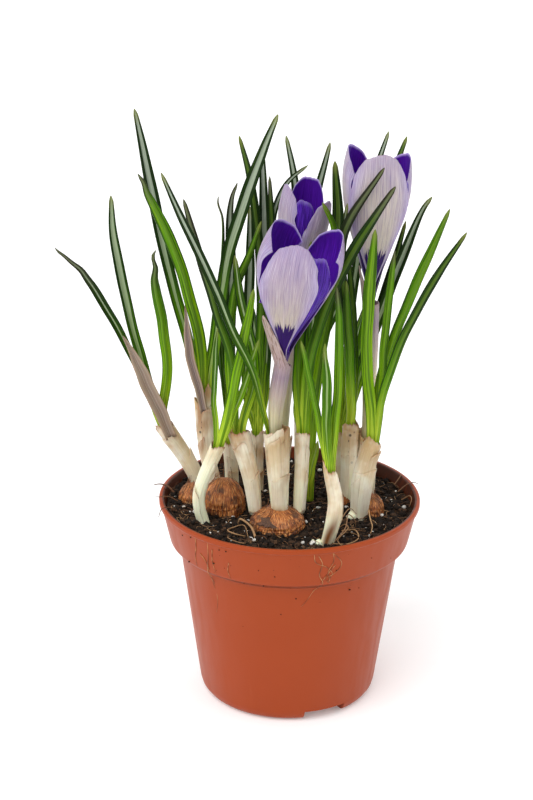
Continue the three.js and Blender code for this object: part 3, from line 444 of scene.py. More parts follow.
# ---------------------------------------------------------------- meshes
class Skin:
    """The vertices, faces and per-vertex values of one piece, built up patch by patch."""

    def __init__(self, names):
        self.points = []
        self.faces = []
        self.values = {name: [] for name in names}
        self.count = 0

    def add(self, points, faces, values):
        """Adds vertices with their faces. A value may be one number or an array in the vertices' shape, and
        those that the piece has no use for are left out."""
        shape = points.shape[:-1]
        flat = points.reshape(-1, 3)
        self.points.append(flat)
        self.faces.extend((np.asarray(faces) + self.count).tolist())
        for name, rows in self.values.items():
            rows.append(np.broadcast_to(values.get(name, 0.0), shape).reshape(-1))
        self.count += len(flat)

    def grid(self, points, wrap=False, **values):
        """Adds rows of points. With wrap, each row is a closed ring, and the first and last are capped."""
        rows, columns = points.shape[:2]
        index = np.arange(rows * columns).reshape(rows, columns)
        right = np.roll(index, -1, axis=1)
        last = columns if wrap else columns - 1
        quads = np.stack([index[:-1], right[:-1], right[1:], index[1:]], -1)[:, :last].reshape(-1, 4)
        self.add(points, quads, values)
        if wrap:
            base = self.count - rows * columns
            self.faces.append((index[0][::-1] + base).tolist())
            self.faces.append((index[-1] + base).tolist())

    def sheet(self, outer, thickness, **values):
        """Adds a thin closed sheet under a grid. The value outside is 1 on the grid and 0 underneath."""
        along = np.gradient(outer, axis=0)
        across = np.gradient(outer, axis=1)
        normal = unit(np.cross(across, along))
        shape = outer.shape[:2]
        inner = outer - normal * np.broadcast_to(thickness, shape)[..., None]
        size = shape[0] * shape[1]
        index = np.arange(size).reshape(shape)
        corners = [index[:-1, :-1], index[:-1, 1:], index[1:, 1:], index[1:, :-1]]
        front = np.stack(corners, -1).reshape(-1, 4)
        border = np.concatenate([index[0, :-1], index[:-1, -1], index[-1, :0:-1], index[:0:-1, 0]])
        following = np.roll(border, -1)
        rim = np.stack([following, border, border + size, following + size], -1)
        faces = np.concatenate([front, front[:, ::-1] + size, rim])
        doubled = {key: np.stack([np.broadcast_to(value, shape)] * 2) for key, value in values.items()}
        doubled["outside"] = np.stack([np.ones(shape), np.zeros(shape)])
        self.add(np.stack([outer, inner]), faces, doubled)

    def piece(self, name, material, slot, replaces=(), sharp=False):
        """Makes the Blender object, which rides with the plant."""
        mesh = bpy.data.meshes.new(name)
        mesh.from_pydata((np.concatenate(self.points) * MM).tolist(), [], self.faces)
        for key, rows in self.values.items():
            mesh.attributes.new(key, "FLOAT", "POINT").data.foreach_set("value", np.concatenate(rows))
        mesh.polygons.foreach_set("use_smooth", [not sharp] * len(mesh.polygons))
        mesh.materials.append(material)
        mesh.update()
        thing = put(name, mesh)
        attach(thing, "root")
        if replaces:
            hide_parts(*replaces)
        return thing


def put(name, data):
    """Puts a mesh, a lamp or a camera into the scene."""
    thing = bpy.data.objects.new(name, data)
    bpy.context.collection.objects.link(thing)
    return thing


def tube(skin, points, radii, sides=8, rows=None, at=None, **values):
    """Adds a tapering round rod through some points. The radii stand evenly along it, or at the shares at."""
    path = Path(points)
    rows = rows or max(3, len(points) * 3)
    share = np.linspace(0, 1, rows)
    middle, _, up, side = path.axes(share, vector([0.13, 0.97, 0.2]))
    places = np.linspace(0, 1, len(radii)) if at is None else at
    radius = np.interp(share, places, radii)[:, None, None]
    angle = np.linspace(0, TURN, sides, endpoint=False)[None, :, None]
    ring = middle[:, None] + radius * (side[:, None] * np.cos(angle) + up[:, None] * np.sin(angle))
    values.setdefault("along", share[:, None])
    skin.grid(ring, wrap=True, **values)


def lathe_rows(outline, sides):
    """Rings of points round the Z axis for an outline of radii and heights."""
    outline = vector(outline)
    angle = np.linspace(0, TURN, sides, endpoint=False)
    ring = np.stack([np.cos(angle), np.sin(angle)], -1)
    flat = outline[:, None, :1] * ring[None]
    return np.concatenate([flat, np.broadcast_to(outline[:, None, 1:], flat.shape[:2] + (1,))], -1)


# A ball of twenty faces, for crumbs and grains.
GOLD = (1 + 5**0.5) / 2
BALL_POINTS = unit(
    vector([
        [-1, GOLD, 0], [1, GOLD, 0], [-1, -GOLD, 0], [1, -GOLD, 0], [0, -1, GOLD], [0, 1, GOLD],
        [0, -1, -GOLD], [0, 1, -GOLD], [GOLD, 0, -1], [GOLD, 0, 1], [-GOLD, 0, -1], [-GOLD, 0, 1],
    ])
)
BALL_FACES = np.array([
    [0, 11, 5], [0, 5, 1], [0, 1, 7], [0, 7, 10], [0, 10, 11], [1, 5, 9], [5, 11, 4], [11, 10, 2], [10, 7, 6],
    [7, 1, 8], [3, 9, 4], [3, 4, 2], [3, 2, 6], [3, 6, 8], [3, 8, 9], [4, 9, 5], [2, 4, 11], [6, 2, 10],
    [8, 6, 7], [9, 8, 1],
])


def crumb(skin, random, middle, size, **values):
    """Adds one irregular grain, flatter than it is wide."""
    shape = BALL_POINTS * random.uniform(0.65, 1.25, (12, 1))
    shape = shape * random.uniform([0.7, 0.7, 0.5], [1.3, 1.3, 0.95])
    angle = random.uniform(0, TURN)
    spin = np.array([[np.cos(angle), -np.sin(angle), 0], [np.sin(angle), np.cos(angle), 0], [0, 0, 1]])
    skin.add(vector(middle) + size * shape @ spin.T, BALL_FACES, values)


# ---------------------------------------------------------------- materials
class Finish:
    """A node material. An input is a number, a colour or another node's output."""

    def __init__(self, name):
        self.material = bpy.data.materials.new(name)
        self.material.use_nodes = True
        self.tree = self.material.node_tree
        self.tree.nodes.clear()

    def add(self, kind, inputs, output=0, **settings):
        """Adds a node with its inputs and settings, and gives one of its outputs."""
        node = self.tree.nodes.new("ShaderNode" + kind)
        for key, value in settings.items():
            setattr(node, key, value)
        for key, value in inputs.items():
            if isinstance(value, bpy.types.NodeSocket):
                self.tree.links.new(value, node.inputs[key])
            else:
                node.inputs[key].default_value = value
        return node.outputs[output] if node.outputs else None

    def value(self, name):
        """One of the values that the piece keeps for each vertex."""
        return self.add("Attribute", {}, output=2, attribute_name=name)

    def maths(self, operation, a, b=0.0, c=0.0):
        return self.add("Math", {0: a, 1: b, 2: c}, operation=operation)

    def times(self, a, b):
        return self.maths("MULTIPLY", a, b)

    def less(self, a, b):
        return self.maths("SUBTRACT", a, b)

    def off(self, a):
        """How far a value is off 0."""
        return self.maths("ABSOLUTE", a)

    def span(self, value, low, high, start=0.0, end=1.0):
        """Maps low to high onto start to end, smoothly and clamped."""
        inputs = {"Value": value, "From Min": low, "From Max": high, "To Min": start, "To Max": end}
        return self.add("MapRange", inputs, interpolation_type="SMOOTHSTEP")

    def mix(self, factor, a, b):
        rgba = [colour if isinstance(colour, bpy.types.NodeSocket) else (*colour, 1) for colour in (a, b)]
        inputs = {0: factor, 6: rgba[0], 7: rgba[1]}
        return self.add("Mix", inputs, output=2, data_type="RGBA")

    def layers(self, colour, *others):
        """Lays colours over one another, each where its own value passes from low to high, up to a share."""
        for value, low, high, most, other in others:
            colour = self.mix(self.span(value, low, high, 0, most), colour, other)
        return colour

    def ramp(self, value, stops):
        output = self.add("ValToRGB", {"Fac": value})
        elements = output.node.color_ramp.elements
        while len(elements) < len(stops):
            elements.new(0.5)
        for element, (place, colour) in zip(elements, stops):
            element.position = place
            element.color = (*colour, 1)
        return output

    def coordinates(self, x, y, z=0.0):
        return self.add("CombineXYZ", {0: x, 1: y, 2: z})

    def place(self):
        """Where a point lies, in metres, along the piece's own axes."""
        return self.add("TexCoord", {}, output=3)

    def noise(self, vector, scale, detail=4.0, roughness=0.55):
        inputs = {"Vector": vector, "Scale": scale, "Detail": detail, "Roughness": roughness}
        return self.add("TexNoise", inputs)

    def bump(self, height, strength, distance):
        """A bumpy normal, with the distance in millimetres."""
        return self.add("Bump", {"Height": height, "Strength": strength, "Distance": distance * MM})

    def surface(self, **inputs):
        names = {key.replace("_", " "): value for key, value in inputs.items()}
        shader = self.add("BsdfPrincipled", names)
        self.add("OutputMaterial", {"Surface": shader})
        return self.material


def pot_finish():
    """Satin terracotta plastic, a little uneven in colour, with painted shade on the step under its band and
    soil clinging inside its rim.
    """
    f = Finish("terracotta_plastic")
    place = f.place()
    grain = f.noise(place, 900, 2)
    streak = f.noise(f.add("Mapping", {"Vector": place, "Scale": (60, 60, 9)}), 4, 5)
    parts = f.add("SeparateXYZ", {0: place})
    height = parts.node.outputs[2]
    # Painted shade: a dark band on the step under the band, darkest within 0.9 mm of the step's middle
    # height.
    ledge_shade = f.off(f.less(height, (BAND_FOOT - POT["step_height"] / 2) * MM))
    colour = f.layers(
        f.mix(f.noise(place, 28, 3), (0.31, 0.044, 0.006), (0.36, 0.055, 0.009)),
        (streak, 0.62, 0.8, 0.1, (0.5, 0.13, 0.06)),
        (grain, 0.62, 0.75, 0.14, (0.22, 0.036, 0.013)),
        (ledge_shade, 1.6 * MM, 0.9 * MM, 0.75, (0.13, 0.022, 0.006)),
    )
    # Soil clings to the inside of the band, where a point lies within a cone between its two faces.
    flat = f.coordinates(parts, parts.node.outputs[1])
    reach = f.add("VectorMath", {0: flat}, output=1, operation="LENGTH")
    limit = f.maths("MULTIPLY_ADD", f.less(height, BAND_FOOT * MM), 0.232, 47.1 * MM)
    inside = f.times(f.span(f.less(limit, reach), 0.0, 0.4 * MM), f.span(height, 69 * MM, 71 * MM))
    soiled = f.times(inside, f.span(streak, 0.25, 0.5, 0.6, 1.0))
    colour = f.mix(f.times(soiled, 0.92), colour, (0.045, 0.014, 0.006))
    return f.surface(
        Base_Color=colour,
        Roughness=f.span(streak, 0.3, 0.75, 0.36, 0.5),
        Specular_IOR_Level=0.2,
        Normal=f.bump(grain, 0.12, 0.08),
    )


def soil_finish():
    f = Finish("potting_soil")
    place = f.place()
    lump = f.noise(place, 380, 6, 0.7)
    shade = f.mix(f.value("shade"), (0.008, 0.005, 0.003), (0.09, 0.046, 0.023))
    colour = f.layers(
        shade,
        (lump, 0.42, 0.62, 1, (0.012, 0.007, 0.005)),
        (lump, 0.64, 0.7, 0.7, (0.26, 0.17, 0.1)),
    )
    bump = f.bump(lump, 0.9, 0.5)
    return f.surface(Base_Color=colour, Roughness=0.92, Specular_IOR_Level=0.25, Normal=bump)


def grain_finish():
    f = Finish("perlite")
    pores = f.noise(f.place(), 1400, 4)
    colour = f.mix(f.span(pores, 0.35, 0.6), (0.42, 0.4, 0.36), (0.82, 0.8, 0.75))
    return f.surface(Base_Color=colour, Roughness=0.85, Normal=f.bump(pores, 0.8, 0.2))


def strand_finish(name, dark, light):
    """Dry fibres and roots, some dark and some light."""
    f = Finish(name)
    grain = f.noise(f.place(), 1500, 3)
    colour = f.mix(f.value("shade"), dark, light)
    colour = f.mix(f.span(grain, 0.35, 0.7, 0, 0.35), colour, dark)
    return f.surface(Base_Color=colour, Roughness=0.75)


def corm_finish():
    """A coat of close upright fibres, with growth rings and darker seams."""
    f = Finish("corm_tunic")
    around = f.times(f.value("around"), 26.0)
    along = f.value("along")
    fibres = f.noise(f.coordinates(around, f.times(along, 2.5)), 4.5, 6, 0.65)
    patches = f.noise(f.place(), 240, 3)
    colour = f.ramp(fibres, [
        (0.32, (0.03, 0.008, 0.004)),
        (0.43, (0.2, 0.045, 0.01)),
        (0.53, (0.52, 0.165, 0.034)),
        (0.66, (0.84, 0.42, 0.15)),
    ])
    colour = f.layers(
        colour,
        (patches, 0.54, 0.64, 0.8, (0.06, 0.02, 0.01)),
        (patches, 0.42, 0.3, 0.4, (0.7, 0.3, 0.09)),
    )
    turn = f.maths("SINE", f.times(f.value("around"), 2 * TURN))
    past_groove = f.off(f.less(along, f.maths("MULTIPLY_ADD", turn, 0.02, CORM["groove"])))
    slits = f.noise(f.coordinates(f.times(around, 3.0), along), 2.0, 2)
    frayed = f.times(f.span(past_groove, 0.07, 0.05), f.span(slits, 0.58, 0.66))
    crack = f.maths("MAXIMUM", f.span(past_groove, 0.016, 0.006), frayed)
    colour = f.mix(f.times(crack, 0.8), colour, (0.03, 0.012, 0.008))
    colour = f.mix(f.times(f.value("scorched"), 0.85), colour, (0.05, 0.03, 0.022))
    return f.surface(Base_Color=colour, Roughness=0.5, Normal=f.bump(fibres, 0.8, 0.5))


def sheath_finish():
    """Dry papery skin with lengthwise veins, browned at its torn edge and speckled where soil has stuck."""
    f = Finish("papery_sheath")
    around = f.value("around")
    along = f.value("along")
    veins = f.noise(f.coordinates(f.times(around, 22.0), along), 2.2, 5, 0.6)
    mottle = f.noise(f.add("Mapping", {"Vector": f.place(), "Scale": (1, 1, 0.3)}), 170, 3)
    cloud = f.noise(f.place(), 90, 3)
    cream = f.ramp(along, [
        (0.0, (0.56, 0.42, 0.17)),
        (0.12, (0.9, 0.8, 0.6)),
        (0.5, (0.76, 0.62, 0.41)),
        (0.8, (0.6, 0.45, 0.26)),
        (1.0, (0.52, 0.34, 0.15)),
    ])
    cream = f.mix(f.span(cloud, 0.4, 0.62, 0, 0.8), cream, (0.88, 0.82, 0.66))
    cream = f.mix(f.span(f.value("age"), 0.08, 0.02), cream, (0.84, 0.83, 0.6))
    age = f.times(f.value("age"), f.span(mottle, 0.34, 0.68, 0.1, 1.3))
    colour = f.mix(age, cream, (0.33, 0.18, 0.085))
    band = f.times(f.span(f.off(around), 0.12, 0.03), f.span(veins, 0.3, 0.55, 0.4, 1))
    pink = f.mix(f.times(band, f.value("pink")), (0.4, 0.3, 0.21), (0.13, 0.08, 0.08))
    colour = f.layers(
        colour,
        (f.value("pink"), 0.1, 0.5, 1, pink),
        (veins, 0.52, 0.66, 0.3, (0.42, 0.28, 0.15)),
        (veins, 0.42, 0.3, 0.4, (0.88, 0.86, 0.76)),
    )
    torn = f.times(f.value("edge"), f.span(mottle, 0.4, 0.6, 0.3, 1))
    colour = f.mix(torn, colour, (0.26, 0.11, 0.035))
    colour = f.mix(f.value("stain"), colour, (0.16, 0.05, 0.008))
    spots = f.add("TexVoronoi", {"Vector": f.place(), "Scale": 420.0})
    dots = f.times(f.span(spots, 0.3, 0.16), f.value("specks"))
    colour = f.mix(dots, colour, (0.03, 0.018, 0.012))
    return f.surface(
        Base_Color=colour,
        Roughness=f.span(mottle, 0.3, 0.7, 0.28, 0.5),
        Specular_IOR_Level=0.4,
        Subsurface_Weight=0.12,
        Subsurface_Scale=MM,
        Normal=f.bump(veins, 0.55, 0.2),
    )


def leaf_finish():
    """A waxy blade: a white band in its upper groove, fine veins, a pale foot and a withered tip."""
    f = Finish("crocus_leaf")
    across = f.value("across")
    off_middle = f.off(across)
    seed = f.times(f.value("seed"), 40.0)
    lengthwise = f.times(f.value("reach"), 0.012)
    fan = f.coordinates(f.times(across, 1.5), f.times(lengthwise, 0.5), seed)
    veins = f.noise(fan, 2.6, 5, 0.66)
    mottle = f.noise(f.coordinates(across, lengthwise, seed), 14, 4, 0.6)
    tone = f.value("tone")
    green = f.ramp(tone, [
        (0.0, (0.24, 0.47, 0.002)),
        (0.3, (0.085, 0.235, 0.001)),
        (0.6, (0.019, 0.056, 0.001)),
        (1.0, (0.005, 0.014, 0.003)),
    ])
    green = f.layers(
        green,
        (veins, 0.48, 0.56, 0.8, f.mix(tone, (0.016, 0.065, 0.001), (0.003, 0.008, 0.002))),
        (veins, 0.43, 0.34, 0.7, f.mix(tone, (0.36, 0.52, 0.01), (0.06, 0.1, 0.035))),
    )
    band = f.maths("ADD", off_middle, f.times(f.less(mottle, 0.5), 0.16))
    inside = f.less(f.value("stripe"), band)
    white = f.times(f.span(inside, -0.04, 0.05), f.value("upper"))
    stripe = f.mix(tone, (0.34, 0.5, 0.12), (0.36, 0.41, 0.34))
    colour = f.mix(f.times(white, f.span(veins, 0.7, 0.4, 0.55, 0.92)), green, stripe)
    under = f.less(1.0, f.value("upper"))
    keel = f.times(f.span(band, 0.42, 0.3), under)
    colour = f.mix(f.times(keel, 0.35), colour, (0.16, 0.28, 0.03))
    # Painted shade: the rolled-under margins darken to near black, more so on the darker leaves.
    margin = f.times(f.span(off_middle, 0.62, 0.9), f.span(tone, 0.1, 0.7, 0.25, 0.95))
    colour = f.mix(margin, colour, (0.005, 0.02, 0.001))
    foot = f.mix(f.span(veins, 0.46, 0.56), (0.5, 0.62, 0.05), (0.14, 0.28, 0.005))
    colour = f.mix(f.value("pale"), colour, foot)
    colour = f.mix(f.times(f.value("ripe"), 0.6), colour, (0.24, 0.26, 0.06))
    withered = f.mix(f.span(off_middle, 0.25, 0.6), (0.12, 0.13, 0.07), (0.022, 0.018, 0.01))
    dryness = f.times(f.value("dryness"), f.span(mottle, 0.3, 0.6, 0.55, 1.0))
    colour = f.mix(dryness, colour, withered)
    return f.surface(
        Base_Color=colour,
        Roughness=f.span(veins, 0.4, 0.6, 0.2, 0.5),
        Specular_IOR_Level=0.11,
        Subsurface_Weight=0.03,
        Subsurface_Scale=0.8 * MM,
        Normal=f.bump(veins, 0.35, 0.18),
    )


def tepal_finish():
    """Silky petals: pale lilac outside with grey veins and a violet throat mark, deep violet inside."""
    f = Finish("crocus_tepal")
    across = f.value("across")
    along = f.value("along")
    off_middle = f.off(across)
    seed = f.times(f.value("seed"), 30.0)
    fan = f.times(across, f.span(along, 0.0, 0.7, 5.0, 15.0))
    veins = f.noise(f.coordinates(fan, f.times(along, 1.6), seed), 2.6, 6, 0.62)
    fine = f.noise(f.coordinates(f.times(across, 34.0), f.times(along, 2.2), seed), 2.0, 3)
    cloud = f.noise(f.coordinates(f.times(across, 2.0), along, seed), 3.5, 4)

    blush = f.ramp(along, [
        (0.0, (0.36, 0.31, 0.36)),
        (0.3, (0.54, 0.47, 0.34)),
        (0.6, (0.43, 0.36, 0.38)),
        (1.0, (0.37, 0.29, 0.45)),
    ])
    cream = f.mix(f.span(along, 0.7, 1.0), (0.6, 0.54, 0.45), (0.46, 0.4, 0.46))
    pale = f.layers(
        f.mix(f.value("blush"), cream, blush),
        (off_middle, 0.5, 1.0, 1, (0.4, 0.33, 0.52)),
        (veins, 0.5, 0.62, 0.6, (0.2, 0.14, 0.26)),
        (fine, 0.52, 0.66, 0.4, (0.2, 0.14, 0.26)),
        (veins, 0.46, 0.34, 0.55, (0.68, 0.61, 0.66)),
        (cloud, 0.45, 0.8, 0.35, (0.3, 0.23, 0.42)),
    )
    spikes = f.noise(f.coordinates(f.times(across, 15.0), f.times(along, 0.8), seed), 1.0, 2)
    jagged = f.maths("MULTIPLY_ADD", f.less(spikes, 0.5), 0.26, 0.335)
    reached = f.span(f.less(jagged, along), -0.01, 0.015)
    throat_mark = f.times(reached, f.span(off_middle, 0.86, 0.74))
    mark = f.mix(f.span(fine, 0.4, 0.6), (0.03, 0.002, 0.13), (0.014, 0.001, 0.06))
    outer_side = f.mix(throat_mark, pale, mark)

    streak = f.times(f.span(veins, 0.44, 0.62), f.span(fine, 0.35, 0.6, 0.4, 1))
    violet = f.mix(streak, (0.03, 0.001, 0.17), (0.13, 0.03, 0.56))
    lobe = f.maths("MAXIMUM", f.span(along, 0.95, 1.0), f.span(off_middle, 0.93, 1.0))
    inner_side = f.mix(f.times(lobe, 0.4), violet, (0.3, 0.23, 0.5))
    outside = f.mix(f.value("whorl"), outer_side, inner_side)

    deep = f.layers(
        (0.055, 0.002, 0.25),
        (veins, 0.4, 0.72, 1, (0.11, 0.01, 0.46)),
        (fine, 0.5, 0.7, 0.35, (0.05, 0.002, 0.2)),
        (along, 0.35, 0.0, 1, (0.02, 0.001, 0.07)),
    )
    rim = f.maths("MAXIMUM", f.span(off_middle, 0.955, 1.0), f.span(along, 0.975, 1.0))
    deep = f.mix(f.times(rim, 0.8), deep, (0.5, 0.4, 0.75))
    colour = f.mix(f.value("outside"), deep, outside)
    stem = f.ramp(f.value("height"), [
        (0.0, (0.8, 0.78, 0.62)),
        (0.55, (0.6, 0.53, 0.56)),
        (0.86, (0.2, 0.12, 0.3)),
        (1.0, (0.03, 0.004, 0.12)),
    ])
    colour = f.mix(f.value("stem"), colour, stem)
    return f.surface(
        Base_Color=colour,
        Roughness=0.5,
        Specular_IOR_Level=0.16,
        Sheen_Weight=0.06,
        Sheen_Roughness=0.4,
        Subsurface_Weight=0.1,
        Subsurface_Scale=0.8 * MM,
        Normal=f.bump(veins, 0.35, 0.3),
    )


def spathe_finish():
    """A thin veined membrane, cream at its foot and lilac-grey higher up."""
    f = Finish("spathe_membrane")
    along = f.value("along")
    around = f.times(f.value("around"), 30.0)
    veins = f.noise(f.coordinates(around, f.times(along, 1.4)), 2.6, 5, 0.6)
    colour = f.ramp(along, [
        (0.0, (0.52, 0.5, 0.24)),
        (0.42, (0.52, 0.46, 0.28)),
        (0.56, (0.42, 0.33, 0.29)),
        (0.68, (0.27, 0.19, 0.25)),
        (0.78, (0.42, 0.3, 0.3)),
        (1.0, (0.46, 0.36, 0.3)),
    ])
    wrinkles = f.noise(f.coordinates(f.times(around, 0.5), f.times(along, 9.0)), 2.2, 4)
    creased = f.times(f.span(along, 0.7, 0.8), f.span(wrinkles, 0.5, 0.6, 0, 0.8))
    colour = f.layers(
        colour,
        (veins, 0.48, 0.66, 0.55, (0.2, 0.12, 0.12)),
        (veins, 0.42, 0.3, 0.55, (0.7, 0.64, 0.5)),
    )
    colour = f.mix(creased, colour, (0.16, 0.08, 0.055))
    return f.surface(
        Base_Color=colour,
        Roughness=0.42,
        Subsurface_Weight=0.12,
        Subsurface_Scale=MM,
        Normal=f.bump(veins, 0.5, 0.2),
    )


def stamen_finish():
    f = Finish("pollen")
    dust = f.noise(f.place(), 2200, 3)
    colour = f.mix(f.value("shade"), (0.82, 0.6, 0.12), (0.86, 0.22, 0.01))
    colour = f.mix(f.span(dust, 0.4, 0.7, 0, 0.4), colour, (0.95, 0.72, 0.2))
    return f.surface(Base_Color=colour, Roughness=0.8, Normal=f.bump(dust, 0.6, 0.1))


# ---------------------------------------------------------------- pot
def rounded(outline, radii, steps):
    """An open outline with each inner corner rounded to its own radius."""
    points = [vector(outline[0])]
    for before, corner, after, radius in zip(outline, outline[1:], outline[2:], radii):
        corner = vector(corner)
        back = unit(vector(before) - corner)
        on = unit(vector(after) - corner)
        for t in np.linspace(0, 1, steps) if radius else [0]:
            points.append(corner + radius * (back * (1 - t) ** 2 + on * t**2))
    return [*points, vector(outline[-1])]


def cutter(name, points, faces):
    """A closed mesh to cut with."""
    mesh = bpy.data.meshes.new(name)
    mesh.from_pydata([tuple(vector(p) * MM) for p in points], [], faces)
    return put(name, mesh)


def cut(thing, tools):
    """Cuts the tools out of a piece and removes them."""
    for tool in tools:
        change = thing.modifiers.new("cut", "BOOLEAN")
        change.operation = "DIFFERENCE"
        change.solver = "EXACT"
        change.object = tool
    bpy.context.view_layer.update()
    evaluated = thing.evaluated_get(bpy.context.evaluated_depsgraph_get())
    mesh = bpy.data.meshes.new_from_object(evaluated)
    thing.modifiers.clear()
    thing.data = mesh
    for tool in tools:
        bpy.data.objects.remove(tool)


def block(azimuth, radius, size):
    """The corners and faces of a box that stands round the pot at an azimuth."""
    out, along = heading(azimuth), heading(azimuth + 90)
    corners = [
        out * (radius + x * size[0] / 2) + along * y * size[1] / 2 + vector([0, 0, z * size[2]])
        for x in (-1, 1) for y in (-1, 1) for z in (-1, 1)
    ]
    return corners, [[0, 1, 3, 2], [4, 6, 7, 5], [0, 4, 5, 1], [2, 3, 7, 6], [0, 2, 6, 4], [1, 5, 7, 3]]


def pot_profile():
    """The pot's section, from the middle of its underside round the rim to the middle of its floor."""
    top, wall, rim = POT["height"], POT["wall"], POT["rim_radius"]
    ring = POT["foot_radius"] - POT["corner_radius"]
    ring_inside = ring - POT["foot_ring_width"]
    outline = [
        ([0, 0], 0),
        ([POT["middle_foot_radius"], 0], 0.4),
        ([POT["middle_foot_radius"], POT["floor_height"]], 0.4),
        ([ring_inside, POT["floor_height"]], 0.4),
        ([ring_inside, 0], 0.4),
        ([POT["foot_radius"], 0], 4.6),
        ([POT["neck_radius"], NECK], 0.9),
        ([POT["band_foot_radius"], BAND_FOOT], 0.8),
        ([rim - POT["lip_inset"], top - POT["lip_height"] - POT["lip_slope"]], 0.5),
        ([rim, top - POT["lip_height"]], 0.35),
        ([rim, top], 0.55),
        ([rim - POT["lip_width"], top], 0.6),
        ([POT["band_foot_radius"] - wall, BAND_FOOT + wall], 1.5),
        ([POT["neck_radius"] - wall, NECK + wall], 1.0),
        ([POT["foot_radius"] - wall, FLOOR_TOP], 3.5),
        ([0, FLOOR_TOP], 0),
    ]
    profile = rounded([point for point, _ in outline], [radius for _, radius in outline][1:-1], 5)
    hair = [0.02, 0]
    return [profile[0] + hair, *profile[1:-1], profile[-1] + hair]


def pot_cutters():
    """Two boxes for each drain notch and a round rod for each drain hole."""
    tools = []
    ring = POT["foot_radius"] - POT["corner_radius"]
    for i in range(NOTCH["count"]):
        azimuth = NOTCH["first_azimuth"] + 360 * i / NOTCH["count"]
        notch = block(azimuth, ring, (NOTCH["depth"], NOTCH["width"], NOTCH["height"]))
        lip = block(azimuth, POT["foot_radius"], (NOTCH["lip_depth"], NOTCH["width"], NOTCH["lip_height"]))
        tools += [cutter("notch", *notch), cutter("notch_lip", *lip)]
    for i in range(DRAIN["count"]):
        azimuth = NOTCH["first_azimuth"] + 360 * i / DRAIN["count"]
        hole = Skin([])
        rows = lathe_rows([[DRAIN["radius"], POT["floor_height"] - 2], [DRAIN["radius"], FLOOR_TOP + 2]], 24)
        hole.grid(rows + heading(azimuth) * DRAIN["ring_radius"], wrap=True)
        tools.append(cutter("drain", np.concatenate(hole.points), hole.faces))
    return tools


def make_pot(material):
    skin = Skin([])
    skin.grid(lathe_rows(pot_profile(), POT["sides"]), wrap=True)
    pot = skin.piece("pot_shell", material, "pot", ["pot"])
    cut(pot, pot_cutters())
    pot.data.polygons.foreach_set("use_smooth", [True] * len(pot.data.polygons))
    pot.data.set_sharp_from_angle(angle=np.radians(40))


def wall_radius(height):
    """The radius of the pot's outside at a height."""
    heights = [POT["corner_radius"], NECK, BAND_FOOT, POT["height"] - 2]
    under_lip = POT["rim_radius"] - POT["lip_inset"]
    radii = [POT["foot_radius"], POT["neck_radius"], POT["band_foot_radius"], under_lip]
    return np.interp(height, heights, radii)


# ---------------------------------------------------------------- soil
def soil_top(x, y):
    """The height of the soil, which slopes a little and has low bumps."""
    bumps = np.sin(0.31 * x + 1) * np.cos(0.27 * y) + 0.5 * np.sin(0.7 * x + 0.9 * y)
    return SOIL["height"] + (SOIL["slope_x"] * x + SOIL["slope_y"] * y + SOIL["bump"] * bumps)


def soil_edge():
    """The radius of the soil where it meets the inside of the band."""
    inside = [POT["band_foot_radius"] - POT["wall"], POT["rim_radius"] - POT["lip_width"]]
    return np.interp(SOIL["height"], [BAND_FOOT, POT["height"]], inside) - SOIL["gap"]


def open_spot(random):
    """A random place on the soil, clear of the corms."""
    while True:
        radius = (soil_edge() - 1) * random.uniform(0, 1) ** 0.5
        x, y, _ = radius * heading(random.uniform(0, 360))
        away = [np.hypot((x - middle[0]) / (half[0] + 1), (y - middle[1]) / (half[1] + 1))
                for middle, half in CORMS.values()]
        if min(away) >= 0.93:
            return x, y


def make_soil(material):
    """The mass of soil under an uneven top, and the loose crumbs on it."""
    random = np.random.default_rng(11)
    skin = Skin(["shade"])
    rows, sides = MESH["soil"]
    radius = np.linspace(soil_edge(), 0.3, rows)[:, None]
    angle = np.linspace(0, TURN, sides, endpoint=False)[None]
    x, y = radius * np.cos(angle), radius * np.sin(angle)
    crumbly = 0.35 * np.sin(1.9 * x + 2.3 * np.sin(1.1 * y)) * np.sin(2.1 * y + 1.7 * np.sin(0.9 * x))
    top = np.stack([x, y, soil_top(x, y) + crumbly - 0.15], -1)
    floor = FLOOR_TOP + SOIL["gap"]
    below = [
        [0.3, floor],
        [POT["foot_radius"] - POT["wall"] - SOIL["gap"], floor],
        [POT["neck_radius"] - POT["wall"] - SOIL["gap"], NECK],
    ]
    skin.grid(np.concatenate([lathe_rows(below, sides), top]), wrap=True, shade=0.35)
    for _ in range(LITTER["crumbs"]):
        x, y = open_spot(random)
        size = LITTER["smallest"] + 1.2 * random.uniform() ** 4
        height = soil_top(x, y) + 0.25 * size + 0.5 * random.uniform()
        crumb(skin, random, [x, y, height], size, shade=1.6 * random.uniform() ** 4)
    return skin.piece("soil_crumbs", material, "soil", ["soil"], sharp=True)


def make_perlite(material):
    random = np.random.default_rng(23)
    skin = Skin([])
    for _ in range(LITTER["perlite"]):
        x, y = open_spot(random)
        size = LITTER["smallest"] + 0.8 * random.uniform() ** 2
        crumb(skin, random, [x, y, soil_top(x, y) + 0.7 * size], size)
    return skin.piece("perlite_grains", material, "soil")


def make_fibres(material):
    """Short dry fibres that lie on the soil."""
    random = np.random.default_rng(31)
    skin = Skin(["shade"])
    for _ in range(LITTER["fibres"]):
        x, y = open_spot(random)
        way = random.uniform(0, 360)
        bend = random.uniform(-50, 50)
        length = random.uniform(2.5, 9)
        points = []
        for step in range(4):
            x, y = vector([x, y]) + heading(way + bend * step)[:2] * length / 3
            limit = min(1, (soil_edge() - 0.5) / np.hypot(x, y))
            x, y = x * limit, y * limit
            points.append([x, y, soil_top(x, y) + 0.5 + 0.5 * random.uniform(-1, 1.4)])
        tube(skin, points, [0.11, 0.13, 0.06], sides=4, rows=8, shade=random.uniform() ** 2)
    return skin.piece("soil_fibres", material, "soil")


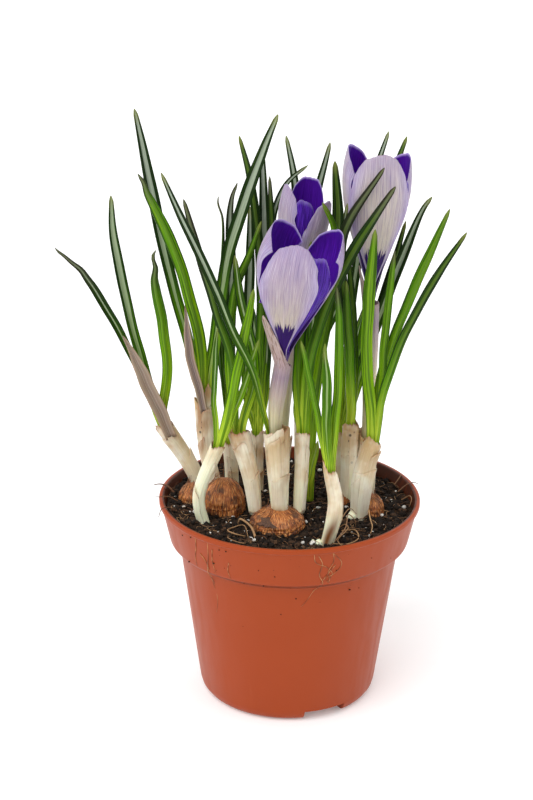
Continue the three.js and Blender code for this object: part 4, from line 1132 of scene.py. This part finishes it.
# Curly roots that show above the soil, near the rim and round the shoots: a route, a radius and how light
# each is.
ROOTS = [
    (
        [
            [-17, -33, 80], [-21, -36, 82.4], [-24, -32, 82], [-22, -27, 81], [-18, -28, 82.5],
            [-16, -35, 80.5],
        ],
        0.32, 0.6,
    ),
    ([[-13, -37, 80.5], [-15, -33, 84], [-19, -30, 86], [-20, -27, 83], [-20, -24, 80.5]], 0.5, 0.7),
    ([[-14, -40, 80.5], [-19, -42, 81.5], [-24, -38, 82], [-20, -34, 80.5]], 0.26, 0.4),
    ([[18, -26, 80], [21, -30, 84], [22, -36, 85], [18, -41, 82.5], [20, -46, 82]], 0.3, 0.5),
    ([[20, -28, 80.5], [25, -33, 83], [26, -38, 82], [22, -42, 81.5], [16, -44, 82.4]], 0.28, 0.7),
    ([[17, -41, 82], [21, -39, 87], [22, -34, 90], [25, -31, 86], [25, -28, 81]], 0.24, 0.3),
    ([[16, -30, 80.5], [20, -28, 86], [23, -24, 88], [26, -20, 84]], 0.26, 0.5),
    ([[31, -14, 83], [31.5, -18, 81], [32, -24, 80.5], [31, -30, 80]], 0.3, 1.2),
    ([[-46, 6, 80.5], [-49, 7, 83.4], [-52, 8, 83.9], [-54.6, 8, 83.6]], 0.45, 0.0),
    ([[-44, -2, 80.5], [-48, -4, 83.6], [-51.6, -6, 84.4], [-53.4, -7, 84.8]], 0.3, 0.1),
    ([[-44, -12, 80.5], [-47.6, -14, 83.4], [-50.2, -16, 83.6], [-51.4, -18, 81]], 0.26, 0.0),
    ([[44, 10, 80.5], [48, 11.6, 83.2], [50.6, 12.4, 83.6], [52.4, 12, 83.1]], 0.3, 0.1),
    ([[45, 2, 80.5], [48, 1, 82.6], [48.6, -3, 82.8], [47.6, -6, 81]], 0.28, 0.3),
    ([[43, 17, 80.5], [45, 19, 82.6], [46, 22, 83], [44.6, 24, 81.4]], 0.3, 0.2),
]


def make_roots(material):
    skin = Skin(["shade"])
    rows, sides = MESH["root"]
    for points, radius, shade in ROOTS:
        tube(skin, points, [radius, radius * 0.8, radius * 0.4], sides, rows, shade=shade)
    return skin.piece("loose_roots", material, "soil")


# Root hairs that hang down the pot's outside: azimuths and heights of their routes.
HAIRS = [
    [(-128, 82), (-129, 74), (-131, 66.5), (-132, 60), (-131, 52), (-133, 46)],
    [(-135, 81), (-136, 76), (-138, 71), (-138, 66.5)],
    [(-126, 78), (-127, 72), (-126, 67)],
    [(-78, 80), (-76, 76), (-77, 71), (-75, 67), (-78, 62), (-81, 58), (-84, 55)],
    [(-72, 82), (-71, 77), (-73, 72), (-72, 68), (-75, 64)],
    [(-70, 75), (-74, 70), (-76, 67)],
    [(-118, 74), (-119, 70), (-118, 66.5)],
    [(-74, 82.4), (-70, 79), (-67, 75), (-70, 71), (-74, 69), (-72, 66.8)],
    [(-80, 81), (-79, 77), (-74, 74.4), (-71, 71), (-73, 67.4)],
    [(-134, 74), (-131, 71), (-130, 67.6), (-133, 64), (-132, 57)],
]


def make_pot_dirt(soil_material, hair_material):
    """Crumbs of soil that have stuck to the outside, and the hairs that hang there."""
    random = np.random.default_rng(5)
    crumbs = Skin(["shade"])
    for _ in range(LITTER["stuck_crumbs"]):
        azimuth = random.choice([-131, -76, -118, -55, -95]) + random.normal(0, 7)
        height = 82 - abs(random.normal(0, 13))
        size = 0.12 + 0.3 * random.uniform() ** 2
        place = heading(azimuth) * (wall_radius(height) + 0.3 * size) + vector([0, 0, height])
        crumb(crumbs, random, place, size, shade=random.uniform(0, 0.7))
    hairs = Skin(["shade"])
    rows, sides = MESH["hair"]
    shade = 0.5 + 0.5 * np.sin(np.linspace(0, 19, rows))[:, None]
    for route in HAIRS:
        points = [heading(way) * (wall_radius(z) + 0.16) + vector([0, 0, z]) for way, z in route]
        tube(hairs, points, [0.13, 0.11, 0.06], sides, rows, shade=shade)
    crumbs.piece("stuck_crumbs", soil_material, "soil")
    hairs.piece("root_hairs", hair_material, "soil")


# ---------------------------------------------------------------- corms
def add_skin_flap(skin, middle, half):
    """Adds a loose dark flap of skin that lies on a corm's shoulder."""
    across = np.linspace(-1, 1, 16)[None]
    up = np.linspace(0, 1, 12)[:, None]
    azimuth = np.radians(-118) + (0.42 - 0.2 * up) * across + 0.12 * np.sin(5 * up)
    height = 0.56 + 0.3 * up - 0.05 * across * np.sin(4 * up)
    shoulder = np.interp(height, [0.4, 0.6, 0.75, 0.95], [0.97, 0.93, 0.82, 0.5])
    reach = shoulder + 0.05 + 0.03 * np.sin(9 * across)
    points = np.stack([reach * np.cos(azimuth), reach * np.sin(azimuth), height + 0 * azimuth], -1)
    skin.sheet(points * half + middle, 0.3, around=0.1 * across, along=up, scorched=1.0)


def corm_rows(seed, share, around):
    """Rings of a corm of half size 1: its rounded outline with ribs, close fibres, rings and one groove."""
    outline = vector(rounded(CORM_OUTLINE, [0.05, 0.2, 0.08, 0.02, 0.2, 0.2], 6))
    steps = np.concatenate([[0], np.cumsum(np.linalg.norm(np.diff(outline, axis=0), axis=1))])
    outline = np.stack([np.interp(share, steps / steps[-1], outline[:, k]) for k in range(2)], -1)
    outline[0, 0] = outline[-1, 0] = 0.01
    angle = TURN * around[None]
    up = share[:, None]
    fibres = 0.016 * np.sin(31 * angle + 3 * np.sin(5 * up + seed)) + 0.014 * np.sin(47 * angle + 4 * up)
    ripple = 1 + CORM["rib_depth"] * np.cos(CORM["ribs"] * angle) + fibres
    ripple = ripple + 0.012 * np.sin(70 * up + 2 * np.sin(3 * angle + seed))
    groove = (up - CORM["groove"] - 0.02 * np.sin(2 * angle)) / 0.02
    ripple = ripple - CORM["groove_depth"] * np.exp(-(groove**2))
    return lathe_rows(outline, len(around)) * np.stack([ripple, ripple, np.ones_like(ripple)], -1)


def add_strands(skin, random, middle, half):
    """Adds loose fibres that run up a corm's coat and stand off above it."""
    for _ in range(CORM["strands"]):
        azimuth = random.uniform(0, 360)
        low = random.uniform(0.05, 0.7)
        high = low + random.uniform(0.3, 0.75)
        lean = random.uniform(-14, 14)
        points = []
        for t in np.linspace(0, 1, 5):
            z = low + (high - low) * t
            reach = np.interp(z, [0, 0.4, 0.8, 1, 1.4], [1.02, 0.97, 0.72, 0.42, 0.34])
            drift = heading(azimuth + lean * t) * reach * (1 + 0.1 * t * random.uniform(-1, 1))
            points.append(middle + half * vector([drift[0], drift[1], z]))
        tube(skin, points, [0.16, 0.14, 0.05], sides=4, rows=10, shade=random.uniform(0, 1))


def make_corm(name, material, strands):
    middle, half = (vector(v) for v in CORMS[name])
    seed = list(CORMS).index(name)
    rows, sides = MESH["corm"]
    share = np.linspace(0, 1, rows)
    around = np.linspace(0, 1, sides, endpoint=False)
    skin = Skin(["around", "along", "scorched"])
    skin.grid(corm_rows(seed, share, around) * half + middle, wrap=True, around=around, along=share[:, None])
    if name == "corm_front":
        add_skin_flap(skin, middle, half)
    skin.piece(name + "_tunic", material, "corm", [name])
    add_strands(strands, np.random.default_rng(60 + seed), middle, half)


# ---------------------------------------------------------------- sheaths and bracts
def blade_width(share):
    """A leaf's width along it, as a share of the widest."""
    grown = BLADE["foot_width"] + (1 - BLADE["foot_width"]) * smooth(share, 0, 0.35)
    fade = np.maximum(0, (share - 0.72) / 0.28)
    return grown * (1 + (BLADE["tip_width"] - 1) * fade**1.6)


# Where a blade's section has its points, from one margin at -1 to the other at 1.
BLADE_OVER = vector([1, 0.93, 0.78, 0.55, 0.3, 0.14, 0, -0.14, -0.3, -0.55, -0.78, -0.93, -1])
BLADE_BELOW = vector([-0.97, -0.86, -0.62, -0.38, -0.22, 0, 0.22, 0.38, 0.62, 0.86, 0.97])


def blade_section(body, lift):
    """Heights round a blade's section: a shallow trough above, a keel below and margins rolled under."""
    over, below = BLADE_OVER, BLADE_BELOW
    top = body * (BLADE["groove"] - 0.22 * np.exp(-((over / 0.2) ** 2))) + (lift + 0.05) * over**2
    top = top - body * 0.22 * smooth(np.abs(over), 0.86, 1.0)
    keel = BLADE["keel"] * smooth(np.abs(below), 0.42, 0.16)
    bottom = -body * (0.12 + 0.85 * keel) + lift * below**2 - body * 0.16 * smooth(np.abs(below), 0.7, 0.9)
    return np.concatenate([top, bottom], 1)


def add_blade(skin, points, look, seed, slender=0.0, **values):
    """Adds one leaf or bract, whose width falls by the share slender towards its tip. Each value is a
    function of the share of the length and the length."""
    path = Path(points)
    rows = max(24, int(path.length / BLADE["row_spacing"]))
    end = 1 - BLADE["tip_length"] / path.length
    close = 1 - (1 - end) * vector([0.7, 0.45, 0.26, 0.12, 0.04, 0.01, 0])
    share = np.concatenate([np.linspace(0, end, rows - len(close)), close])
    tip = np.clip((1 - share) * path.length / BLADE["tip_length"], 0, 1) ** 0.5
    withered = smooth(share, 0.999 - 1.2 * look["dry"], 1) * (look["dry"] > 0)
    half = look["width"] / 2 * blade_width(share) * (0.02 + 0.98 * tip) * (1 + 0.03 * wander(9 * share, seed))
    half = half * (1 - 0.3 * withered * (look["curl"] > 0)) * (1 - slender * smooth(share, 0.5, 1))
    sway_turn = 5 * wander(5 * share, seed + 0.5) * smooth(share, 0.1, 0.5)
    face = np.radians(look["face"] + look["turn"] * share + sway_turn)
    middle, _, up, side = path.axes(share, np.stack([np.cos(face), np.sin(face), np.zeros(rows)], -1))
    sway = 0.35 * np.sin(np.pi * share) * wander(6 * share, seed + 0.2)
    wriggle = look["curl"] * withered * wander(share * path.length / 2.6, seed + 3, 2)
    middle = middle + side * (sway + wriggle)[:, None] + up * 0.5 * wriggle[:, None]
    body = (0.5 + 0.5 * blade_width(share))[:, None] * (0.25 + 0.75 * tip)[:, None]
    across = np.concatenate([BLADE_OVER, BLADE_BELOW])[None]
    x = across * half[:, None]
    y = blade_section(body, BLADE["lift"] * half[:, None])
    ring = middle[:, None] + side[:, None] * x[..., None] + up[:, None] * y[..., None]
    upper = np.concatenate([np.ones_like(BLADE_OVER), np.zeros_like(BLADE_BELOW)])[None]
    skin.grid(
        ring, wrap=True, across=across, upper=upper, seed=seed % 7 / 7, reach=(share * path.length)[:, None],
        **{key: value(share, path.length)[:, None] for key, value in values.items()},
    )


def round_route(sheath, share, angle, radius):
    """Points round a sheath's route at shares of it, which may pass its end, with a radius for each share."""
    path = Path(sheath["points"])
    inside = np.clip(share, 0, 1)
    frames = path.axes(inside.reshape(-1), heading(90))
    middle, ahead, up, side = (v.reshape(*share.shape, 3) for v in frames)
    beyond = ahead * ((share - inside) * path.length)[..., None]
    turned = side * np.cos(angle)[..., None] + up * np.sin(angle)[..., None]
    grown = np.interp(inside, [0, 0.5, 1], sheath["radii"]) + radius
    return middle + beyond + turned * grown[..., None]


def sleeve_rings(sheath, share, angle, grow):
    """Pleated rings round a sheath's route."""
    tear = sheath["tear"]
    inside = np.clip(share, 0, 1)
    pleats = np.sin(7 * angle + tear + 2 * inside) + 0.6 * np.sin(13 * angle - 3 * inside + 2 * tear)
    waves = 0.5 * np.sin(6 * inside + 2 * angle + tear)
    return round_route(sheath, share, angle, grow + SHEATH["wrinkle"] * (pleats * (0.3 + inside) + waves))


def torn_edge(angle, sheath):
    """How far the mouth of a sheath rises at an angle round it, in millimetres."""
    tear = sheath["tear"]
    azimuth, rise = sheath["peak"]
    ragged = np.sin(2 * angle + tear) + 0.4 * wander(2 * np.sin(angle), tear + np.cos(angle), 3)
    point = rise * np.maximum(0, np.cos(angle - np.radians(azimuth))) ** 6
    fine = 0.16 * (np.sin(17 * angle + 3 * tear) + np.sin(29 * angle + tear))
    return SHEATH["torn"] / 2 * ragged + point + fine


def add_sleeve(skin, sheath):
    """Adds the tubular part of a sheath: the outside up to its torn mouth and the inside down again."""
    length = Path(sheath["points"]).length
    rows, sides = MESH["sleeve"]
    angle = np.linspace(0, TURN, sides, endpoint=False)[None]
    mouth = 1 + torn_edge(angle, sheath) / length
    outer_share = np.linspace(0, 1, rows)[:, None] * mouth
    inner_share = mouth - (mouth - 0.5) * np.linspace(0.005, 1, 14)[:, None]
    outside = sleeve_rings(sheath, outer_share, angle, 0)
    inside = sleeve_rings(sheath, inner_share, angle, -SHEATH["thin_wall"])
    share = np.concatenate([outer_share, inner_share])
    edge = smooth(share, mouth - 1.3 / length, mouth)
    age = np.clip(sheath["age"] * (0.1 + 1.1 * smooth(share, 0.3, 1.05)), 0, 1)
    front = (angle + np.pi / 2 + 0.25 * np.sin(9 * share) + np.pi) % TURN - np.pi
    stain = np.exp(-((front / 0.75) ** 2)) * smooth(share, -0.05, 0.04) * smooth(share, 0.66, 0.3)
    skin.grid(
        np.concatenate([outside, inside]), wrap=True, around=angle / TURN, along=share, age=age, edge=edge,
        stain=sheath["stain"] * stain, specks=sheath["specks"] * smooth(share, 0.35, 0.8),
    )


def add_wrap(skin, sheath, random, middle, width, height, brown, low=0.02, lean=0.0):
    """Adds a torn outer layer that clasps part of a sheath and stands away a little at its top. Middle and
    width are where it is and half of how far it reaches round, in radians. Its lower edge is at the share
    low and leans by the share lean from its middle to its side."""
    rows, columns = MESH["wrap"]
    across = np.linspace(-1, 1, columns)[None]
    rise = np.linspace(0, 1, rows)[:, None]
    angle = middle + width * across
    length = Path(sheath["points"]).length
    ragged = 1.3 * wander(1.6 * angle, sheath["tear"] + middle, 3) + 0.16 * wander(9 * angle, middle, 3)
    slant = 3.2 * across * np.sin(2 * sheath["tear"] + middle)
    top = height + (slant + ragged) / length - 0.3 * smooth(np.abs(across), 0.8, 1)
    bottom = low + lean * across
    share = bottom + (top - bottom) * rise
    peel = random.uniform(0.2, 0.8) * smooth(share, height - 0.2, height + 0.05) ** 2
    points = round_route(sheath, share, angle, WRAP["gap"] + peel + 0.05 * np.sin(9 * angle + 5 * share))
    age = np.clip(brown * (0.2 + 0.8 * share / height), 0, 1)
    sides = 0.5 * smooth(np.abs(across), 0.94, 1) * smooth(rise, 0.2, 0.6)
    edge = 0.6 * np.maximum(smooth(rise, 0.95, 1), sides)
    skin.sheet(points, WRAP["thickness"], around=angle / TURN, along=share, age=age, edge=edge)


def add_knob(skin, middle, radius, tear):
    """Adds one white knob of a young root."""
    outline = [[0.02, -1], [0.5, -0.86], [0.86, -0.5], [1, 0], [0.86, 0.5], [0.5, 0.86], [0.02, 1]]
    ball = lathe_rows(outline, 20) * radius
    lumps = 1 + 0.12 * np.sin(3 * ball[..., :1] / radius + 4 * ball[..., 2:] / radius + tear)
    skin.grid(ball * lumps + vector(middle), wrap=True, along=0.4)


def add_bract(skin, sheath, bract):
    """Adds the long papery blade that grows from a sheath's rim."""
    out = sheath["radii"][-1] - SHEATH["wall"] / 2
    rim = Path(sheath["points"]).at(0.9) + heading(bract["face"]) * out
    blade = Skin(["across"])
    add_blade(blade, [rim, *bract["points"]], bract, 3.0, slender=0.55)
    across = np.concatenate(blade.values["across"])
    edge = 0.5 * smooth(np.abs(across), 0.8, 1)
    faces = [[i + skin.count for i in face] for face in blade.faces]
    values = {"around": across * 0.12, "along": 0.7, "pink": bract["tone"], "edge": edge}
    skin.add(np.concatenate(blade.points), np.zeros((0, 4), int), values)
    skin.faces.extend(faces)


def make_sheath(name, sheath, bract, material):
    random = np.random.default_rng(100 + sheath["tear"])
    skin = Skin(["around", "along", "age", "pink", "specks", "edge", "stain"])
    add_sleeve(skin, sheath)
    for height in (0.55, 0.85):
        middle = 0.5 if sheath["stain"] else random.uniform(-2.7, -0.5)
        width = random.uniform(0.45, 1.1)
        add_wrap(skin, sheath, random, middle, width, height + random.uniform(-0.12, 0.08), sheath["age"])
    if sheath["collar"]:
        add_wrap(skin, sheath, random, height=sheath["collar"], **COLLAR)
    if sheath["fold"]:
        add_wrap(skin, sheath, random, **FOLD)
    for middle, radius in sheath["knobs"]:
        add_knob(skin, middle, radius, sheath["tear"])
    if bract:
        add_bract(skin, sheath, bract)
    skin.piece(name + "_paper", material, "sheath", [name])


# ---------------------------------------------------------------- leaves
def leaf_start(sheath, look):
    """Where a leaf's route starts: at the crown, or inside its sheath on the side that it leaves by."""
    if not sheath:
        return [vector(CROWN)]
    path = Path(sheath["points"])
    lean = vector(look["points"][0]) - path.at(1.0)
    seat = (look["seat"] or SHEATH["seat"]) * (sheath["radii"][-1] - SHEATH["wall"])
    return [path.at(s) + unit(vector([lean[0], lean[1], 0])) * seat for s in (SHEATH["root"], 1.0)]


def leaf_values(look):
    """What a leaf's colour is made from, each as a function of the share of its length and the length."""
    dry = look["dry"]
    return {
        "tone": lambda share, _: look["tone"] * (0.22 + 0.78 * smooth(share, 0.15, 0.8)),
        "stripe": lambda share, _: look["stripe"] * (0.5 + 0.5 * smooth(share, 0.3, 0.65)),
        "pale": lambda share, length: 0.9 * smooth(share * length, BLADE["pale_length"], 4),
        "dryness": lambda share, _: 0.95 * smooth(share, 0.999 - 1.5 * dry, 1 - 0.3 * dry) * (dry > 0),
        "ripe": lambda share, length: smooth((1 - share) * length, BLADE["ripe_length"], 0),
    }


def make_leaves(name, shoot, material):
    skin = Skin(["across", "upper", "seed", "reach", "tone", "stripe", "pale", "dryness", "ripe"])
    for number, look in enumerate(shoot["leaves"]):
        route = [*leaf_start(shoot["sheath"], look), *look["points"]]
        seed = sum(map(ord, name)) % 29 + 1.7 * number
        add_blade(skin, route, look, seed, **leaf_values(look))
    skin.piece(name + "_blades", material, "leaf", [name])


# ---------------------------------------------------------------- flowers
def cup_radius(share, reach):
    """How far a tepal's middle stands from the flower's axis, over its height."""
    angle = np.pi / 2 * share ** TEPAL["cup_flare"] / TEPAL["belly"]
    return TEPAL["claw"] + (reach - TEPAL["claw"]) * np.sin(angle)


def tepal_half_width(share, width):
    """A narrow claw that opens into a broad blade, a little narrower again at its top."""
    opened = np.sin(np.pi / 2 * np.minimum(1, share / TEPAL["widest"]) ** TEPAL["flare"])
    closed = TEPAL["top_fall"] * smooth(share, TEPAL["widest"], 1)
    return np.maximum(TEPAL["claw"], width * opened * (1 - closed))


def flower_length(flower):
    return np.linalg.norm(vector(flower["top"]) - vector(flower["throat"]))


def flower_axis(flower, share):
    throat, top = vector(flower["throat"]), vector(flower["top"])
    return throat + (top - throat) * np.asarray(share)[..., None]


def add_tepal(skin, flower, look, inner, seed):
    """Adds one tepal, cupped round its own middle, with rounded corners, a waved margin and fine ripples."""
    outward, across = heading(look["azimuth"]), heading(look["azimuth"] + 90)
    rows, columns = MESH["tepal"]
    share = np.linspace(0.02, 1, rows)[:, None]
    s = np.sin(np.linspace(-np.pi / 2, np.pi / 2, columns))[None]
    height = share * look["height"] * (TEPAL["inner_share"] if inner else 1)
    inset = TEPAL["inner_inset"] * flower["reach"] * inner + look["tuck"] * smooth(share, 0.05, 0.3)
    radius = np.maximum(TEPAL["claw"], cup_radius(height, flower["reach"]) - inset)
    bend = np.maximum(2, look["hollow"] * radius)
    half = tepal_half_width(share, look["width"]) * (1 + 0.025 * wander(5 * share, seed))
    angle = s * half / bend
    scallop = 0.35 * wander(6 * s + 0.3 * seed, seed, 5) * smooth(share, 0.8, 1)
    drop = (TEPAL["corner"] * np.abs(s) ** 2.4 * share**3.4 + scallop) / flower_length(flower)
    wave = 0.5 * s**2 * np.sin(7 * share + seed) * smooth(share, 0.3, 0.8)
    frill = 0.3 * np.abs(s) ** 5 * np.sin(26 * share + 3 * seed) * smooth(share, 0.35, 0.7)
    ridge = -0.25 * np.exp(-((s / 0.1) ** 2)) * smooth(share, 0.15, 0.4)
    ripples = 0.07 * np.sin(15 * s + 1.2 * np.sin(5 * share + seed)) * smooth(share, 0.2, 0.6)
    reach = radius - bend * (1 - np.cos(angle)) + wave + frill + ridge + ripples
    points = flower_axis(flower, height - drop) + outward * reach[..., None]
    points = points + across * (bend * np.sin(angle))[..., None]
    thin = 0.35 + 0.65 * (1 - np.abs(s) ** 3) * (1 - 0.6 * smooth(share, 0.85, 1))
    skin.sheet(
        points, TEPAL["thickness"] * thin, across=s, along=share, whorl=float(inner), seed=seed % 11 / 11,
        blush=flower["blush"],
    )


def make_flower(name, flower, material):
    """The tube and its three outer and three inner tepals."""
    skin = Skin(["across", "along", "whorl", "outside", "seed", "blush", "stem", "height"])
    head = TEPAL["throat_height"] / flower_length(flower)
    stations = [flower["foot"], flower["waist"], flower["throat"], flower_axis(flower, head)]
    neck = 1 - (TEPAL["throat_height"] + 1) / Path(stations).length
    radii = [TUBE_RADIUS, TUBE_RADIUS, cup_radius(head, flower["reach"]) - 0.5]
    rows, sides = MESH["flower_tube"]
    rise = np.linspace(0, 1, rows)[:, None]
    tube(skin, stations, radii, sides, rows, at=[0, neck, 1], stem=1.0, height=rise)
    for number, (outer, inner) in enumerate(zip(flower["outer"], flower["inner"])):
        seed = 3.1 * number + len(name)
        add_tepal(skin, flower, outer, False, seed)
        add_tepal(skin, flower, inner, True, seed + 1.3)
    skin.piece(name + "_tepals", material, "flower", [name])


def make_spathe(name, flower, material):
    """The membrane: a close sleeve round the tube that is drawn up on one side into a flap."""
    top, flap, side_up = flower["spathe"]
    foot, throat = vector(flower["foot"]), vector(flower["throat"])
    path = Path([foot, flower["waist"], throat])
    top_share = (top - foot[2]) / (throat[2] - foot[2])
    inner = TUBE_RADIUS + SPATHE["gap"]
    draw = vector(flap) - path.at(top_share)
    draw = draw - unit(vector([draw[0], draw[1], 0])) * (inner + SPATHE["swell"])
    rows, sides = MESH["spathe"]
    flap_rows = 16
    angle = np.linspace(0, TURN, sides, endpoint=False)[None]
    rise = np.concatenate([np.linspace(0, 1, rows), np.ones(flap_rows)])[:, None]
    drawn = np.concatenate([np.zeros(rows), np.linspace(0.04, 1, flap_rows)])[:, None]
    share = SPATHE["foot"] + (top_share - SPATHE["foot"]) * rise
    middle, _, up, side = (v[:, None] for v in path.axes(share[:, 0], heading(90)))
    turned = side * np.cos(angle)[..., None] + up * np.sin(angle)[..., None]
    pull = np.maximum(0, np.cos(angle - np.radians(side_up))) ** 1.3 * drawn
    folds = 0.1 * np.sin(9 * angle + 5 * share + top) * smooth(share, 0.2, 0.6)
    width = np.interp(share, [SPATHE["foot"], 0.4, 0.75], [inner, inner, inner + SPATHE["swell"]])

    def layer(grow):
        return middle + turned * (width + grow + folds)[..., None] + draw * pull[..., None]

    rings = np.concatenate([layer(SPATHE["wall"]), layer(SPATHE["inside"])[::-1]])
    along = share / top_share * 0.75 + 0.25 * pull
    skin = Skin(["around", "along"])
    skin.grid(rings, wrap=True, around=angle / TURN, along=np.concatenate([along, along[::-1]]))
    skin.piece(name + "_membrane", material, "spathe", [name])


def make_stamens(name, flower, material):
    """The style with its split stigma, and a filament and an anther of two lobes before each outer tepal."""
    length = flower_length(flower)

    def place(height, azimuth, reach):
        return flower_axis(flower, height / length) + heading(azimuth) * reach

    seat = TEPAL["throat_height"] - 0.5
    skin = Skin(["shade"])
    style = [place(seat, 0, 0), place(16, 0, 0.1), place(27, 0, 0)]
    tube(skin, style, [0.7, 0.5, 0.55], sides=10, shade=0.55)
    for azimuth in (look["azimuth"] for look in flower["outer"]):
        tube(skin, [place(seat, azimuth, 0.4), place(11, azimuth, 1)], [0.45, 0.35], sides=8, shade=0.0)
        for side in (-16, 16):
            lobe = [place(z, azimuth + side, r) for z, r in ANTHER]
            tube(skin, lobe, [0.2, 0.62, 0.7, 0.6, 0.15], sides=10, rows=18, shade=0.1)
        for fork in (-26, -9, 9, 26):
            tip = place(30.6 - abs(fork) / 12, azimuth + fork, 2.9)
            branch = [place(25.4, azimuth, 0.1), place(28, azimuth + fork / 2, 1.3), tip]
            tube(skin, branch, [0.4, 0.38, 0.42], shade=1.0)
    skin.piece(name + "_anthers", material, "stamen", [name])


# ---------------------------------------------------------------- studio
CAMERA = {"aim": (-9.5, 0, 123.6), "distance": 741, "elevation": 20.81, "roll": 0.47, "lens": 85, "film": 36}
FLOOR_REACH = 30.0  # metres


def stand(thing, axes, place):
    """Puts a camera or a lamp at a place in metres, with its own three axes along the given ones."""
    matrix = np.eye(4)
    matrix[:3, :3] = np.stack(axes, 1)
    matrix[:3, 3] = place
    thing.matrix_world = Matrix(matrix.tolist())


def make_camera():
    """The view of the photo: an upright film, a little rolled, that looks down at the plant."""
    lift = np.radians(CAMERA["elevation"])
    roll = np.radians(CAMERA["roll"])
    back = vector([0, -np.cos(lift), np.sin(lift)])
    right = vector([1, 0, 0])
    up = np.cross(back, right)
    data = bpy.data.cameras.new("camera")
    data.lens = CAMERA["lens"]
    data.sensor_fit = "VERTICAL"
    data.sensor_height = CAMERA["film"]
    camera = put("camera", data)
    axes = [right * np.cos(roll) + up * np.sin(roll), up * np.cos(roll) - right * np.sin(roll), back]
    stand(camera, axes, (vector(CAMERA["aim"]) + back * CAMERA["distance"]) * MM)
    bpy.context.scene.camera = camera


def make_floor():
    f = Finish("pale_floor")
    grain = f.noise(f.place(), 40, 2)
    colour = f.mix(grain, (0.86, 0.86, 0.86), (0.9, 0.9, 0.9))
    glow = {"Emission_Color": (1, 1, 1, 1), "Emission_Strength": 0.18}
    mesh = bpy.data.meshes.new("floor")
    corners = [(x * FLOOR_REACH, y * FLOOR_REACH, 0) for x, y in ((-1, -1), (1, -1), (1, 1), (-1, 1))]
    mesh.from_pydata(corners, [], [(0, 1, 2, 3)])
    mesh.materials.append(f.surface(Base_Color=colour, Roughness=0.9, **glow))
    put("floor", mesh)


def make_sun(name, direction, softness, power):
    """A lamp that shines from a direction. Softness is how wide it looks, in degrees."""
    data = bpy.data.lights.new(name, "SUN")
    data.angle = np.radians(softness)
    data.energy = power
    lamp = put(name, data)
    back = unit(vector(direction))
    right = unit(np.cross(vector([0, 0, 1]), back))
    stand(lamp, [right, np.cross(back, right), back], back)


def make_studio():
    """A white sweep behind and above the plant, and a dimmer room behind the camera."""
    world = bpy.data.worlds.new("studio")
    bpy.context.scene.world = world
    world.use_nodes = True
    nodes, links = world.node_tree.nodes, world.node_tree.links
    way = nodes.new("ShaderNodeTexCoord")
    parts = nodes.new("ShaderNodeSeparateXYZ")
    glow = nodes.new("ShaderNodeMapRange")
    links.new(way.outputs["Generated"], parts.inputs[0])
    links.new(parts.outputs["Y"], glow.inputs["Value"])
    for key, value in (("From Min", -0.7), ("From Max", 0.25), ("To Min", 0.25), ("To Max", 1.05)):
        glow.inputs[key].default_value = value
    links.new(glow.outputs[0], nodes["Background"].inputs["Strength"])
    nodes["Background"].inputs["Color"].default_value = (1, 1, 1, 1)
    make_sun("key", (-0.55, -0.75, 0.95), 55, 2.1)
    make_sun("fill", (0.9, -0.5, 0.7), 50, 0.6)
    bpy.context.scene.view_settings.view_transform = "Standard"


# ---------------------------------------------------------------- the whole object
def main():
    make_camera()
    make_floor()
    make_studio()

    make_pot(pot_finish())
    soil = soil_finish()
    make_soil(soil)
    make_perlite(grain_finish())
    fibre = strand_finish("dry_fibre", (0.13, 0.05, 0.02), (0.56, 0.33, 0.15))
    make_fibres(fibre)
    make_roots(fibre)
    make_pot_dirt(soil, strand_finish("root_hair", (0.16, 0.05, 0.018), (0.6, 0.3, 0.12)))

    tunic = corm_finish()
    strands = Skin(["shade"])
    for name in CORMS:
        make_corm(name, tunic, strands)
    strand = strand_finish("tunic_fibre", (0.1, 0.035, 0.015), (0.5, 0.24, 0.1))
    strands.piece("tunic_strands", strand, "corm")

    paper = sheath_finish()
    green = leaf_finish()
    for name, shoot in SHOOTS.items():
        if shoot["sheath"]:
            make_sheath(f"sheath_{name}", shoot["sheath"], shoot["bract"], paper)
        make_leaves(f"leaves_{name}", shoot, green)

    petal = tepal_finish()
    membrane = spathe_finish()
    pollen = stamen_finish()
    for name, flower in FLOWERS.items():
        if flower["sheath"]:
            make_sheath(f"sheath_{name}_flower", flower["sheath"], None, paper)
        make_flower(f"flower_{name}", flower, petal)
        make_spathe(f"spathe_{name}", flower, membrane)
        make_stamens(f"stamens_{name}", flower, pollen)


main()
